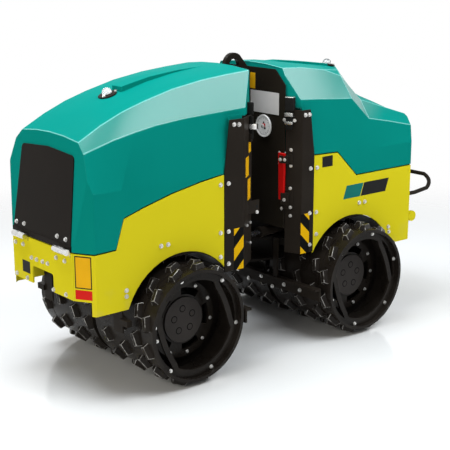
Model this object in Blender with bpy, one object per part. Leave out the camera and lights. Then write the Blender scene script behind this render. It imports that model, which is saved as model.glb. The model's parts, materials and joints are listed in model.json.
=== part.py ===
# Trench roller: an articulated, remote-controlled compactor with padfoot drums.
# Metres, +X towards the front unit, +Y left, +Z up. The sizes below are measured from
# the vertical steering pin, midway between the axles. The whole machine then hangs from
# one empty that puts the origin on the ground under the middle of its length.
import bpy
import bmesh
import math
from mathutils import Matrix, Vector

MIDDLE_X = 0.06575          # from the middle of the overall length to the steering pin

# Drums and axles
AXLE_X = 0.496              # each axle lies this far from the steering pin
TIP_RADIUS = 0.260          # over the tips of the pads
PAD_HEIGHT = 0.022
SHELL_RADIUS = TIP_RADIUS - PAD_HEIGHT
SHELL_WALL = 0.014
AXLE_Z = TIP_RADIUS
DRUM_GAP = 0.028            # between the two halves of a drum, where the hanger runs
DRUM_WIDTH = 0.850          # over both extension rings
PADS_IN_ROW = 13
PAD_LENGTH = 0.070          # at the foot, along the drum
PAD_WIDTH = 0.036           # at the foot, across the drum
PAD_TIP_LENGTH = 0.054
PAD_TIP_WIDTH = 0.018
PAD_SLANT = math.radians(20.0)
RING_FACE_Y = 0.404         # outer face of the extension's stiffening ring
RING_THICK = 0.010
RING_OPENING = 0.190
CHORD_NEAR = 0.150          # the chord bar across each side of the opening
CHORD_FAR = 0.166
CRESCENT_RADIUS = 0.205
WEB_ROOT = 0.006            # how far a chord's web reaches into the ring
THROUGH = 0.004             # how far a cutter passes a face
CRESCENT_ANGLE = math.radians(157.5)
WEB_Y = 0.262               # deep web of the drum half
WEB_THICK = 0.012
FLANGE_RADIUS = 0.165
FLANGE_FACE_Y = 0.310
FLANGE_THICK = 0.012
KIDNEY_INNER = 0.107
KIDNEY_OUTER = 0.137
KIDNEY_SPAN = math.radians(42.0)
KIDNEYS = 5
HUB_RADIUS = 0.098
HUB_FACE_Y = 0.317
HUB_THICK = 0.026
HUB_BOLT_CIRCLE = 0.0495
HUB_RECESS_RADIUS = 0.014
HUB_RECESS_DEPTH = 0.006
HUB_RECESSES = 5
SHAFT_RADIUS = 0.042
HOUSING_RADIUS = 0.080      # the still housing round the shaft
HOUSING_GAP = 0.009         # between the still housing and the hub
HOUSING_HALF = HUB_FACE_Y - HUB_THICK - HOUSING_GAP
HANGER_THICK = 0.017
HANGER_TOP_HALF = 0.150
PIN_FIT = 0.0006            # running gap at pins and shafts
SEAT = 0.0003               # gap between pieces that bear on each other

# Body of a unit, given for the front one
BODY_HALF = 0.315           # to the outer face of the yellow side plates
CUT_NEAR = BODY_HALF - 0.165     # cutters of the sides reach from here
CUT_FAR = BODY_HALF + 0.085      # to here
SIDE_WALL = 0.006
ARCH_RADIUS = 0.290
NOSE_X = 0.968              # front face at its foot
NOSE_HALF = BODY_HALF - 0.083    # half-width of the flat front face
CORNER_X = 0.918            # where the plan chamfer meets the side
PILLAR_HALF = BODY_HALF + 0.003
PILLAR_WALL = 0.006
PILLAR_X = 0.2725           # seam between black pillar and yellow side
PILLAR_BEND_X = 0.165
PILLAR_FOOT_Z = 0.420
PILLAR_TOP_Z = 1.070
PILLAR_LEAN = 0.0275        # the seam edge leans inwards by this much up to the top
HOOD_TUCK = 0.060           # the hood runs this far behind a pillar
HOOD_TUCK_Z = 0.900
HOOD_SEAM = 0.005           # open joint between a hood and the frame below it
DECK_Z = 0.535
DECK_THICK = 0.010
DECK_INNER_X = 0.086        # inner end of the front deck

FRONT_INNER_X = 0.047       # inner end of the front hood
FRONT_INNER_HALF = BODY_HALF - 0.102
BULK_FACE_X = -0.133        # face of the rear unit's bulkhead
BULK_WALL = 0.006
BULK_BACK_X = BULK_FACE_X - BULK_WALL
REAR_INNER_X = BULK_BACK_X - 0.005    # inner end of the rear hood
REAR_INNER_HALF = BODY_HALF - 0.086
REAR_HOOD_BEND_X = -0.205    # where the hood's plan chamfer reaches the side
REAR_CORNER_X = -0.906
REAR_NOSE_X = -0.965

HOOD_WALL = 0.005
NOSE_LEAN = 0.1297          # the front face leans back by this much for each metre of height

# Edge between the hood and the yellow side plate, front unit: x, z from the nose inwards
FRONT_EDGE = ((0.819, 0.614), (0.780, 0.7345), (0.686, 0.7635), (0.544, 0.8000),
              (0.397, 0.8270), (PILLAR_X, 0.8430))
FRONT_EDGE_Z = 0.611
# The same on the rear unit: x, z from the pillar outwards
REAR_PILLAR_X = -0.2480
REAR_PILLAR_BEND_X = -0.172
REAR_EDGE = ((REAR_PILLAR_X, 0.860), (-0.399, 0.8555), (-0.5265, 0.7340))
REAR_EDGE_Z = 0.7345

# Hood sections: x at the shoulder, z there, how far it lies inside the side, x at the ridge,
# z there, x at the crown
FRONT_SECTIONS = (
    (0.990, 0.975, 0.065, 0.990, 1.000, 0.990),
    (0.894, 1.007, 0.057, 0.913, 1.038, 0.913),
    (0.790, 1.039, 0.048, 0.807, 1.093, 0.807),
    (0.690, 1.060, 0.042, 0.705, 1.136, 0.705),
    (0.590, 1.077, 0.038, 0.600, 1.169, 0.600),
    (0.452, 1.0905, 0.034, 0.458, 1.2055, 0.458),
    (0.307, 1.098, 0.031, 0.309, 1.230, 0.309),
    (0.180, 1.104, 0.030, 0.180, 1.243, 0.180),
    (FRONT_INNER_X, 1.110, 0.029, FRONT_INNER_X, 1.253, FRONT_INNER_X),
)
REAR_SECTIONS = (
    (REAR_INNER_X, 1.113, 0.027, REAR_INNER_X, 1.248, REAR_INNER_X),
    (-0.260, 1.107, 0.026, -0.260, 1.243, -0.260),
    (-0.400, 1.097, 0.025, -0.400, 1.223, -0.420),
    (-0.507, 1.090, 0.025, -0.509, 1.188, -0.690),
    (-0.623, 0.988, 0.024, -0.646, 1.066, -0.790),
    (-0.760, 0.962, 0.023, -0.790, 1.022, -0.880),
    (-0.990, 0.912, 0.023, -0.990, 0.962, -0.990),
)
RIDGE_HALF = BODY_HALF - 0.103
CROWN_RISE = 0.014
WAIST_Z = 0.850
HOOD_FOOT_Z = 0.595

# Front plate
FRONT_PLATE_WALL = 0.008
FRONT_PLATE_FOOT_Z = 0.420
NOTCH_HALF = 0.082
NOTCH_TOP_Z = 0.495
NOTCH_CORNER = 0.012
CORNER_FOOT_Z = 0.363
CORNER_TAB_Y = BODY_HALF - 0.018

# Hinges of the hoods
FRONT_HINGE_X = 0.986
FRONT_HINGE_Z = 0.617
REAR_HINGE_X = -0.984
REAR_HINGE_Z = 0.722
HINGE_Y = 0.160
HINGE_LENGTH = 0.122
HINGE_RADIUS = 0.013
HINGE_PIN = 0.006
HINGE_PLATE_HALF = NOSE_HALF - 0.008
HINGE_PLATE_HEIGHT = 0.030
HINGE_PLATE_THICK = 0.005
FRONT_LEAF = 0.020          # from the hinge axis to the end of a leaf
REAR_LEAF = 0.044
LEAF_FRONT = 0.009          # front of a leaf beyond the end face
LEAF_PROUD = 0.002          # back of a hood's leaf before the end face
LEAF_SUNK = 0.004           # back of a frame's leaf inside the end plate
KNUCKLE_LENGTH = 0.040

# Black panel on the front hood
PANEL_FOOT_Z = 0.626
PANEL_TOP_Z = 0.985
PANEL_FOOT_HALF = NOSE_HALF - 0.012
PANEL_TOP_HALF = NOSE_HALF - 0.034
PANEL_CORNER = 0.020
PANEL_ARCH = 0.012
PANEL_WALL = 0.004

# Centre link, steering pin and cylinder
ROLL_Z = 0.400
TRUNNION_RADIUS = 0.040
TRUNNION_HALF = 0.045
LINK_FLANGE_X = 0.049
LINK_FLANGE_THICK = 0.011
LINK_FLANGE_RADIUS = 0.072
ROLL_SHAFT_RADIUS = 0.045
ROLL_SHAFT_END = 0.200
BEAM_INNER_X = 0.066
BEAM_OUTER_X = 0.198
BEARING_RADIUS = 0.078
BEAM_PLATE_X = PILLAR_BEND_X + 0.008
BEAM_WEB_HALF = 0.150
BEAM_LOW_Z = 0.425
BEAM_HIGH_Z = 0.490
YOKE_THICK = 0.012
YOKE_RADIUS = 0.043
YOKE_HALF = 0.100
REAR_BEAM_INNER_X = -0.190
REAR_BEAM_OUTER_X = -0.228
REAR_BEAM_HIGH_Z = 0.460
REAR_BEAM_STEP = 0.012
REAR_WEB_Y = (-0.180, 0.062)
PIN_RADIUS = 0.018
PIN_HEAD = 0.026
CYL_Z = 0.495
CYL_PIN = (-0.300, 0.100)
ROD_EYE = (0.020, 0.130)
BARREL_RADIUS = 0.022
BARREL_START = 0.022
BARREL_END = 0.208
ROD_RADIUS = 0.011
ROD_START = 0.110
EYE_RADIUS = 0.018
EYE_HALF = 0.011
EYE_BORE = 0.0085
BRACKET_RADIUS = 0.016
ARM_THICK = 0.012
ARM_RADIUS = 0.024
NECK_HALF = 0.034

# Scrapers: a bar on the inner side of each drum, a beam with two arms on the outer side
SCRAPER_Z = 0.205
SCRAPER_HALF = 0.398
SCRAPER_GAP = 0.010
SCRAPER_THICK = 0.010
SCRAPER_OFF = 0.006
SCRAPER_HEIGHT = 0.060
SCRAPER_REACH = 0.036
FRONT_STRAP_Y = 0.200
REAR_STRAP_Y = 0.125
STRAP_WIDTH = 0.030
STRAP_THICK = 0.008
ARM_X = 0.290               # from the axle to the beam and its arms
ARM_OUTER_Y = BODY_HALF - 0.015
ARM_INNER_Y = BODY_HALF - 0.080
ARM_FOOT_Z = 0.262
BEAM_PLATE_FOOT_Z = 0.400
BEAM_PLATE_TOP_Z = 0.450
HANGER_Y = 0.200
HANGER_WIDTH = 0.050
HOOK_REACH = 0.045          # the hook at an arm's foot, beyond the arm
HOOK_Z = (0.300, 0.326)
HOOK_HALF = 0.012

# Lifting eye on the rear bulkhead
BULK_HALF = BODY_HALF - 0.072
BULK_FOOT_Z = 0.530
BULK_TOP_Z = 1.240
BULK_TOP_HALF = BULK_HALF - 0.066
BULK_SHOULDER_Z = 1.176
EYE_PLATE = 0.022
EYE_RIM = 0.054
EYE_HOLE = 0.0275
EYE_HOLE_X = -0.040
EYE_HOLE_Z = 1.252
EYE_FOOT_DROP = 0.132       # from the hole down to the foot of the plate

# Wall at the inner end of the front unit
FRONT_WALL_HALF = BODY_HALF - 0.115
FRONT_WALL_TOP_HALF = FRONT_WALL_HALF - 0.035
FRONT_WALL_SHOULDER_Z = 1.165
FRONT_WALL_TOP_Z = 1.228
FRONT_WALL_X = 0.088
FRONT_WALL_THICK = 0.008

# Sensor, engine, guard and small pieces
SENSOR_X = 0.630
SENSOR_RADIUS = 0.040
SENSOR_RIM = 0.005
SENSOR_COLLAR = 0.027
SENSOR_BASE = 0.010
DOME_RADIUS = 0.022
ENGINE_HALF = BODY_HALF - 0.105
ENGINE_BOX = ((0.250, -ENGINE_HALF, DECK_Z + DECK_THICK + SEAT), (0.760, ENGINE_HALF, 0.930))
GUARD_RADIUS = 0.010
GUARD_HALF = BODY_HALF - 0.027
GUARD_Z = 0.585
GUARD_BAR_Z = 0.648
GUARD_BAR_X = -1.120
GUARD_BEND = 0.055
DIAL_Y = 0.113
DIAL_Z = 0.983
DIAL_RADIUS = 0.050
DIAL_DEPTH = 0.022
LOCK_Z = (0.665, 0.876)
LOCK_Y = BULK_HALF - 0.007   # middle of the stowed lock bar
LOCK_WIDTH = (0.030, 0.040)  # at its foot and at its head
LOCK_THICK = 0.012

COLOURS = {
    "teal": ((0.0, 0.36, 0.32), 0.35, 0.0),
    "yellow": ((0.62, 0.53, 0.02), 0.40, 0.0),
    "black": ((0.020, 0.017, 0.015), 0.45, 0.0),
    "cast": ((0.030, 0.026, 0.024), 0.55, 0.3),
    "steel": ((0.45, 0.45, 0.45), 0.30, 1.0),
    "red": ((0.45, 0.01, 0.01), 0.40, 0.0),
    "white": ((0.80, 0.80, 0.78), 0.40, 0.0),
    "clear": ((0.70, 0.74, 0.76), 0.10, 0.0),
}


# Scene and helpers

def clear_scene():
    for old in list(bpy.data.objects):
        bpy.data.objects.remove(old, do_unlink=True)


def paint(name):
    found = bpy.data.materials.get(name)
    if found:
        return found
    colour, roughness, metallic = COLOURS[name]
    material = bpy.data.materials.new(name)
    material.use_nodes = True
    shader = material.node_tree.nodes["Principled BSDF"]
    shader.inputs["Base Color"].default_value = (*colour, 1.0)
    shader.inputs["Roughness"].default_value = roughness
    shader.inputs["Metallic"].default_value = metallic
    return material


def pivot(name, place):
    empty = bpy.data.objects.new(name, None)
    empty.location = place
    bpy.context.scene.collection.objects.link(empty)
    return empty


def piece(name, bm, colour, axis=None, keep_normals=False):
    """Makes an object from a mesh in world coordinates; axis is the empty that it turns about."""
    if not keep_normals:
        bmesh.ops.recalc_face_normals(bm, faces=bm.faces)
    mesh = bpy.data.meshes.new(name)
    bm.to_mesh(mesh)
    bm.free()
    obj = bpy.data.objects.new(name, mesh)
    bpy.context.scene.collection.objects.link(obj)
    if axis:
        mesh.transform(Matrix.Translation(-axis.location))
        obj.parent = axis
    mesh.materials.append(paint(colour))
    mesh.shade_smooth()
    mesh.set_sharp_from_angle(angle=math.radians(28.0))
    return obj


def combine(target, tool, how):
    """Joins a tool to the target, or cuts it away; the tool becomes a hidden guide."""
    tool.hide_render = True
    tool.display_type = "WIRE"
    step = target.modifiers.new(tool.name, "BOOLEAN")
    step.operation = how
    step.object = tool
    step.solver = "EXACT"
    return target


def cut(target, bm):
    tool = piece(target.name + "_cut", bm, "steel", target.parent)
    return combine(target, tool, "DIFFERENCE")


def join(target, bm):
    tool = piece(target.name + "_add", bm, "steel", target.parent)
    return combine(target, tool, "UNION")


def lift(point, axis, along):
    """Puts a flat point into space, across the named axis."""
    a, b = point
    if axis == "x":
        return (along, a, b)
    if axis == "y":
        return (a, along, b)
    return (a, b, along)


def prism(outline, axis, low, high, bm=None):
    """A plate or bar: an outline across the axis, from low to high along it."""
    bm = bm or bmesh.new()
    near = [bm.verts.new(lift(p, axis, low)) for p in outline]
    far = [bm.verts.new(lift(p, axis, high)) for p in outline]
    bm.faces.new(near)
    bm.faces.new(far[::-1])
    for i in range(len(outline)):
        j = (i + 1) % len(outline)
        bm.faces.new((near[j], near[i], far[i], far[j]))
    return bm


def block(low, high, bm=None):
    (x0, y0, z0), (x1, y1, z1) = low, high
    return prism(((x0, y0), (x1, y0), (x1, y1), (x0, y1)), "z", z0, z1, bm)


def arc(cx, cz, radius, start, end, steps):
    return [(cx + radius * math.cos(start + (end - start) * i / steps),
             cz + radius * math.sin(start + (end - start) * i / steps)) for i in range(steps + 1)]


def circle(cx, cz, radius, sides, turn=0.0):
    return arc(cx, cz, radius, turn, turn + math.tau * (sides - 1) / sides, sides - 1)


def turned(profile, centre, axis, sides, turn=0.0):
    """A turned piece: a closed profile of (radius, along) about an axis through centre."""
    bm = bmesh.new()
    rings = []
    for radius, along in profile:
        if radius == 0.0:
            rings.append([bm.verts.new(spot(centre, axis, 0.0, 0.0, along))] * sides)
        else:
            rings.append([bm.verts.new(spot(centre, axis, radius, turn + math.tau * i / sides, along))
                          for i in range(sides)])
    for k in range(len(rings)):
        a, b = rings[k], rings[(k + 1) % len(rings)]
        for i in range(sides):
            j = (i + 1) % sides
            corners = list(dict.fromkeys((a[i], a[j], b[j], b[i])))
            if len(corners) > 2:
                bm.faces.new(corners)
    return bm


def spot(centre, axis, radius, angle, along):
    a, b = radius * math.cos(angle), radius * math.sin(angle)
    if axis == "y":
        offset = (a, along, b)
    elif axis == "x":
        offset = (along, a, b)
    else:
        offset = (a, b, along)
    return tuple(c + o for c, o in zip(centre, offset))


def rod(radius, centre, axis, low, high, sides=24, turn=0.0):
    return turned(((0.0, low), (radius, low), (radius, high), (0.0, high)), centre, axis, sides, turn)


def inset(path, thick):
    """A plan path moved towards y = 0; its points lie on the side y > 0."""
    moved = []
    for i, (x, y) in enumerate(path):
        normals = []
        for j in (i - 1, i):
            if 0 <= j < len(path) - 1:
                dx, dy = path[j + 1][0] - path[j][0], path[j + 1][1] - path[j][1]
                size = math.hypot(dx, dy)
                normals.append((dy / size, -dx / size))
        nx = sum(n[0] for n in normals) / len(normals)
        ny = sum(n[1] for n in normals) / len(normals)
        if path[-1][0] < path[0][0]:
            nx, ny = -nx, -ny
        if len(normals) == 2:
            scale = 1.0 / (nx * nx + ny * ny)
            nx, ny = nx * scale, ny * scale
        moved.append((x + nx * thick, y + ny * thick))
    return moved


def band(path, thick):
    """Plan outline of bent plate: the path and the same path moved inwards."""
    return list(path) + inset(path, thick)[::-1]


def mirrored(outline):
    return [(x, -y) for x, y in outline]


# Drums

# Rows of pads on each half: y of the row, angle of its first pad in degrees
PAD_ROWS_LEFT = ((0.100, -16.4), (0.213, -24.6), (0.318, -33.9), (0.385, -43.2))
PAD_ROWS_RIGHT = ((0.046, -14.0), (0.140, -6.9), (0.250, 1.5), (0.374, -12.0))


def ring_of(bm, centre, side, y, radius, angles):
    return [bm.verts.new(spot(centre, "y", radius, a, side * y)) for a in angles]


def pad_angles(first, y_offset, length):
    """Ends of each pad of a row on the line y_offset from its middle; the pads slant."""
    slant = y_offset * math.tan(PAD_SLANT) / SHELL_RADIUS
    half = length / 2 / SHELL_RADIUS
    angles = []
    for k in range(PADS_IN_ROW):
        middle = math.radians(first) + math.tau * k / PADS_IN_ROW + slant
        angles += [middle - half, middle + half]
    return angles


def tip_radius(length):
    """Distance of a flat pad tip from the axle, so that its ends reach the tip circle."""
    return math.sqrt(TIP_RADIUS ** 2 - (length / 2) ** 2)


def drum_half(name, unit, side, axis):
    """Shell, web, flange and ring of one half of a drum in one mesh, its pads raised from the shell."""
    centre = Vector((unit * AXLE_X, 0.0, AXLE_Z))
    inner = SHELL_RADIUS - SHELL_WALL
    bore = (HUB_RADIUS + SEAT) / math.cos(math.pi / (2 * PADS_IN_ROW))
    half = DRUM_WIDTH / 2
    rows = PAD_ROWS_LEFT if side > 0 else PAD_ROWS_RIGHT
    even = [math.tau * k / (2 * PADS_IN_ROW) for k in range(2 * PADS_IN_ROW)]

    def even_from(degrees):
        return [a + math.radians(degrees) - math.pi / (2 * PADS_IN_ROW) for a in even]

    bm = bmesh.new()
    rings = [ring_of(bm, centre, side, DRUM_GAP / 2, SHELL_RADIUS, even_from(rows[0][1]))]
    feet = []
    for y, first in rows:
        for offset in (-PAD_WIDTH / 2, PAD_WIDTH / 2):
            rings.append(ring_of(bm, centre, side, y + offset, SHELL_RADIUS,
                                 pad_angles(first, side * offset, PAD_LENGTH)))
        feet.append((len(rings) - 2, y, first))
    last = even_from(rows[-1][1])
    flange_back = FLANGE_FACE_Y - FLANGE_THICK
    profile = [(SHELL_RADIUS, half), (inner, half), (inner, RING_FACE_Y), (RING_OPENING, RING_FACE_Y),
               (RING_OPENING, RING_FACE_Y - RING_THICK), (inner, RING_FACE_Y - RING_THICK),
               (inner, WEB_Y + WEB_THICK), (FLANGE_RADIUS, WEB_Y + WEB_THICK),
               (FLANGE_RADIUS, FLANGE_FACE_Y), (bore, FLANGE_FACE_Y), (bore, flange_back),
               (FLANGE_RADIUS - WEB_THICK, flange_back), (FLANGE_RADIUS - WEB_THICK, WEB_Y),
               (inner, WEB_Y), (inner, DRUM_GAP / 2)]
    for radius, y in profile:
        rings.append(ring_of(bm, centre, side, y, radius, last))
    count = len(even)
    # the two ends of the profile differ in phase by whole facets
    shift = round((rows[-1][1] - rows[0][1]) / 360.0 * count)
    for k, near in enumerate(rings):
        closing = k == len(rings) - 1
        far = rings[0] if closing else rings[k + 1]
        pad_row = [y_first for index, *y_first in feet if index == k]
        for i in range(count):
            j = (i + 1) % count
            ia, ja = (i, j) if not closing else ((i + shift) % count, (j + shift) % count)
            corners = (near[i], near[j], far[ja], far[ia])
            if pad_row and i % 2 == 0:
                y, first = pad_row[0]
                middle = math.radians(first) + math.tau * (i // 2) / PADS_IN_ROW
                raise_pad(bm, centre, side, y, middle, corners)
            else:
                bm.faces.new(corners)
    drum = piece(name, bm, "cast", axis)

    webs, holes = bmesh.new(), bmesh.new()
    root = RING_OPENING + WEB_ROOT
    for turn in (CRESCENT_ANGLE, CRESCENT_ANGLE + math.pi):
        reach = math.acos(CHORD_NEAR / root)
        web = arc(centre.x, centre.z, root, turn - reach, turn + reach, 5)
        prism(web, "y", side * (RING_FACE_Y - RING_THICK + 0.001), side * (RING_FACE_Y - 0.001), webs)
        reach = math.acos(CHORD_FAR / CRESCENT_RADIUS)
        hole = arc(centre.x, centre.z, CRESCENT_RADIUS, turn - reach, turn + reach, 5)
        prism(hole, "y", side * (RING_FACE_Y - RING_THICK - THROUGH), side * (RING_FACE_Y + THROUGH), holes)
    for k in range(KIDNEYS):
        start = math.tau * (k + 0.5) / KIDNEYS - KIDNEY_SPAN / 2
        end = start + KIDNEY_SPAN
        shape = arc(centre.x, centre.z, KIDNEY_OUTER, start, end, 3)
        shape += arc(centre.x, centre.z, KIDNEY_INNER, end, start, 2)
        prism(shape, "y", side * (flange_back - THROUGH), side * (FLANGE_FACE_Y + THROUGH), holes)
    join(drum, webs)
    return cut(drum, holes)


def raise_pad(bm, centre, side, y, middle, foot):
    """A wedge-shaped pad on its foot: a flat tip joined to the foot's corners."""
    radius = tip_radius(PAD_TIP_LENGTH)
    reach = PAD_TIP_LENGTH / 2 / radius
    tip = []
    for end, offset in ((-1, -1), (1, -1), (1, 1), (-1, 1)):
        across = offset * PAD_TIP_WIDTH / 2
        angle = middle + side * across * math.tan(PAD_SLANT) / radius
        out = radius / math.cos(reach)
        tip.append(bm.verts.new(spot(centre, "y", out, angle + end * reach, side * (y + across))))
    bm.faces.new(tip)
    for i in range(4):
        j = (i + 1) % 4
        bm.faces.new((foot[i], foot[j], tip[j], tip[i]))


def axle(name, unit, axis, phase):
    centre = Vector((unit * AXLE_X, 0.0, AXLE_Z))
    back = HUB_FACE_Y - HUB_THICK
    profile = ((0.0, -HUB_FACE_Y), (HUB_RADIUS, -HUB_FACE_Y), (HUB_RADIUS, -back), (SHAFT_RADIUS, -back),
               (SHAFT_RADIUS, back), (HUB_RADIUS, back), (HUB_RADIUS, HUB_FACE_Y), (0.0, HUB_FACE_Y))
    shaft = piece(name, turned(profile, centre, "y", 26), "cast", axis)
    holes = bmesh.new()
    for side in (-1, 1):
        for k in range(HUB_RECESSES):
            x, z = spot2(centre, HUB_BOLT_CIRCLE, math.radians(phase) + math.tau * k / HUB_RECESSES)
            prism(circle(x, z, HUB_RECESS_RADIUS, 8), "y",
                  side * (HUB_FACE_Y - HUB_RECESS_DEPTH), side * (HUB_FACE_Y + THROUGH), holes)
    return cut(shaft, holes)


def spot2(centre, radius, angle):
    return centre.x + radius * math.cos(angle), centre.z + radius * math.sin(angle)


def axle_carrier(name, unit):
    """Hanger plate between the drum halves, with the still housing round the shaft."""
    centre = Vector((unit * AXLE_X, 0.0, AXLE_Z))
    half = HANGER_THICK / 2
    profile = ((SHAFT_RADIUS + PIN_FIT, -HOUSING_HALF), (HOUSING_RADIUS, -HOUSING_HALF),
               (HOUSING_RADIUS, HOUSING_HALF), (SHAFT_RADIUS + PIN_FIT, HOUSING_HALF))
    carrier = piece(name, turned(profile, centre, "y", 32), "cast")
    low = HOUSING_RADIUS * 0.6
    outline = ((centre.x - HANGER_TOP_HALF, DECK_Z - SEAT), (centre.x + HANGER_TOP_HALF, DECK_Z - SEAT),
               (centre.x + low, AXLE_Z + low), (centre.x - low, AXLE_Z + low))
    return join(carrier, prism(outline, "y", -half, half))


# Frame

def pillar_path(unit):
    """Outer plan line of a black pillar, from the unit's inner end to the yellow side."""
    if unit > 0:
        inner, bend, seam = FRONT_INNER_X + 0.006, PILLAR_BEND_X, PILLAR_X
        inner_half = FRONT_INNER_HALF
    else:
        inner, bend, seam = BULK_BACK_X - SEAT, REAR_PILLAR_BEND_X, REAR_PILLAR_X
        inner_half = BULK_HALF
    return [(inner, inner_half), (bend, PILLAR_HALF), (seam, PILLAR_HALF)]


def side_path(unit):
    """Outer plan line of a yellow side, from the pillar to the end plate."""
    if unit > 0:
        return [(PILLAR_X + SEAT, BODY_HALF), (CORNER_X, BODY_HALF), (NOSE_X, NOSE_HALF + SEAT)]
    return [(REAR_PILLAR_X - SEAT, BODY_HALF), (REAR_CORNER_X, BODY_HALF), (REAR_NOSE_X, NOSE_HALF + SEAT)]


def deck(name, unit):
    near = inset(pillar_path(unit), PILLAR_WALL + SEAT)
    far = inset(side_path(unit), SIDE_WALL + SEAT)
    end_x = side_path(unit)[-1][0] - unit * (FRONT_PLATE_WALL + SEAT)
    (ax, ay), (bx, by) = far[-2:]
    tip = (end_x, ay + (by - ay) * (end_x - ax) / (bx - ax))
    start_x = DECK_INNER_X if unit > 0 else BULK_BACK_X - SEAT
    (ax, ay), (bx, by) = near[:2]
    root = (start_x, ay + (by - ay) * (start_x - ax) / (bx - ax))
    path = [root] + near[1:] + far[:-1] + [tip]
    outline = path + mirrored(path)[::-1]
    return piece(name, prism(outline, "z", DECK_Z, DECK_Z + DECK_THICK), "black")


def hood_edge(unit):
    """Line between hood and yellow side, x and z, from beyond the nose to the pillar."""
    if unit > 0:
        return [(1.1, FRONT_EDGE_Z), (CORNER_X, FRONT_EDGE_Z)] + list(FRONT_EDGE)
    return [(-1.1, REAR_EDGE_Z), (REAR_CORNER_X, REAR_EDGE_Z)] + list(REAR_EDGE)[::-1]


def side_plate(name, unit, side):
    """Yellow side plate, bent round the outer corner, cut by the wheel arch and the hood's edge."""
    edge = hood_edge(unit)
    path = side_path(unit)
    inner = inset(path, SIDE_WALL)
    (ax, ay), (bx, by) = inner[-2:]
    end_y = path[-1][1]
    inner[-1] = (ax + (bx - ax) * (end_y - ay) / (by - ay), end_y)
    outline = path + inner[::-1]
    if side < 0:
        outline = mirrored(outline)
    plate = piece(name, prism(outline, "z", CORNER_FOOT_Z, 0.90), "yellow")
    last_x = edge[-1][0]
    above = edge + [(last_x - unit * 0.05, edge[-1][1]), (last_x - unit * 0.05, 1.0), (unit * 1.1, 1.0)]
    cut(plate, prism(above, "y", side * CUT_NEAR, side * CUT_FAR))
    arch = circle(unit * AXLE_X, AXLE_Z, ARCH_RADIUS, 48)
    cut(plate, prism(arch, "y", side * CUT_NEAR, side * CUT_FAR))
    end = abs(path[-1][0]) + 0.02
    start = abs(path[-2][0]) - 0.10
    low = ((unit * start, CUT_NEAR * side), (unit * end, CUT_NEAR * side),
           (unit * end, CORNER_TAB_Y * side), (unit * start, CORNER_TAB_Y * side))
    return cut(plate, prism(low, "z", CORNER_FOOT_Z - 0.05, FRONT_PLATE_FOOT_Z))


def pillar(name, unit, side):
    """Black corner plate; its seam edge leans inwards above the yellow side plate."""
    outline = band(pillar_path(unit), PILLAR_WALL)
    if side < 0:
        outline = mirrored(outline)
    plate = piece(name, prism(outline, "z", PILLAR_FOOT_Z, PILLAR_TOP_Z), "black")
    x, z = hood_edge(unit)[-1]
    slope = -unit * PILLAR_LEAN / (PILLAR_TOP_Z - z)
    over = 0.02
    top_z, far = PILLAR_TOP_Z + over, x + unit * over
    wedge = ((x, z), (x + slope * (top_z - z), top_z), (far, top_z), (far, z))
    return cut(plate, prism(wedge, "y", side * CUT_NEAR, side * CUT_FAR))


def end_plate(name, unit):
    """Yellow plate across the outer end, with the knuckles of the hood's hinges."""
    half = NOSE_HALF - SEAT
    if unit > 0:
        top, low_x, high_x = FRONT_EDGE_Z, NOSE_X - FRONT_PLATE_WALL, NOSE_X
        hinge = (FRONT_HINGE_X, FRONT_HINGE_Z)
    else:
        top, low_x, high_x = REAR_EDGE_Z, REAR_NOSE_X, REAR_NOSE_X + FRONT_PLATE_WALL
        hinge = (REAR_HINGE_X, REAR_HINGE_Z)
    notch = NOTCH_HALF
    outline = [(-half, FRONT_PLATE_FOOT_Z), (-notch, FRONT_PLATE_FOOT_Z)]
    bend = NOTCH_CORNER
    outline += arc(-notch + bend, NOTCH_TOP_Z - bend, bend, math.pi, math.pi / 2, 3)
    outline += arc(notch - bend, NOTCH_TOP_Z - bend, bend, math.pi / 2, 0.0, 3)
    outline += [(notch, FRONT_PLATE_FOOT_Z), (half, FRONT_PLATE_FOOT_Z), (half, top), (-half, top)]
    plate = piece(name, prism(outline, "x", low_x, high_x), "yellow")
    wing, gap = HINGE_LENGTH / 2, KNUCKLE_LENGTH / 2
    knuckles, pins = bmesh.new(), bmesh.new()
    for y in (-HINGE_Y, HINGE_Y):
        for low, high in ((y - wing, y - gap - SEAT), (y + gap + SEAT, y + wing)):
            prism(knuckle(hinge, unit, -1, -LEAF_SUNK), "y", low, high, knuckles)
        prism(circle(*hinge, HINGE_PIN, 12), "y", y - wing + 0.004, y + wing - 0.004, pins)
    join(plate, knuckles)
    return join(plate, pins)


def knuckle(hinge, unit, way, proud):
    """Outline of a hinge barrel with its leaf: way is 1 for the leaf above it, -1 below.
    The back of the leaf stands proud of the unit's end face by the given distance."""
    x, z = hinge
    nose = NOSE_X if unit > 0 else REAR_NOSE_X
    lean = NOSE_LEAN if way > 0 and unit > 0 else 0.0

    def leaf(rise, out):
        height = z + way * rise
        return nose - lean * (height - FRONT_EDGE_Z) + unit * out, height

    reach = FRONT_LEAF if unit > 0 else REAR_LEAF
    points = [leaf(0.006, proud), leaf(reach, proud), leaf(reach, LEAF_FRONT), leaf(0.014, LEAF_FRONT)]
    start = math.atan2(way * 0.75, -unit * 0.66)
    end = math.atan2(way * 0.30, -unit * 0.95)
    if (end - start) * way * unit > 0:
        end -= math.copysign(math.tau, end - start)
    return points + arc(x, z, HINGE_RADIUS, start, end, 9)


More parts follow.
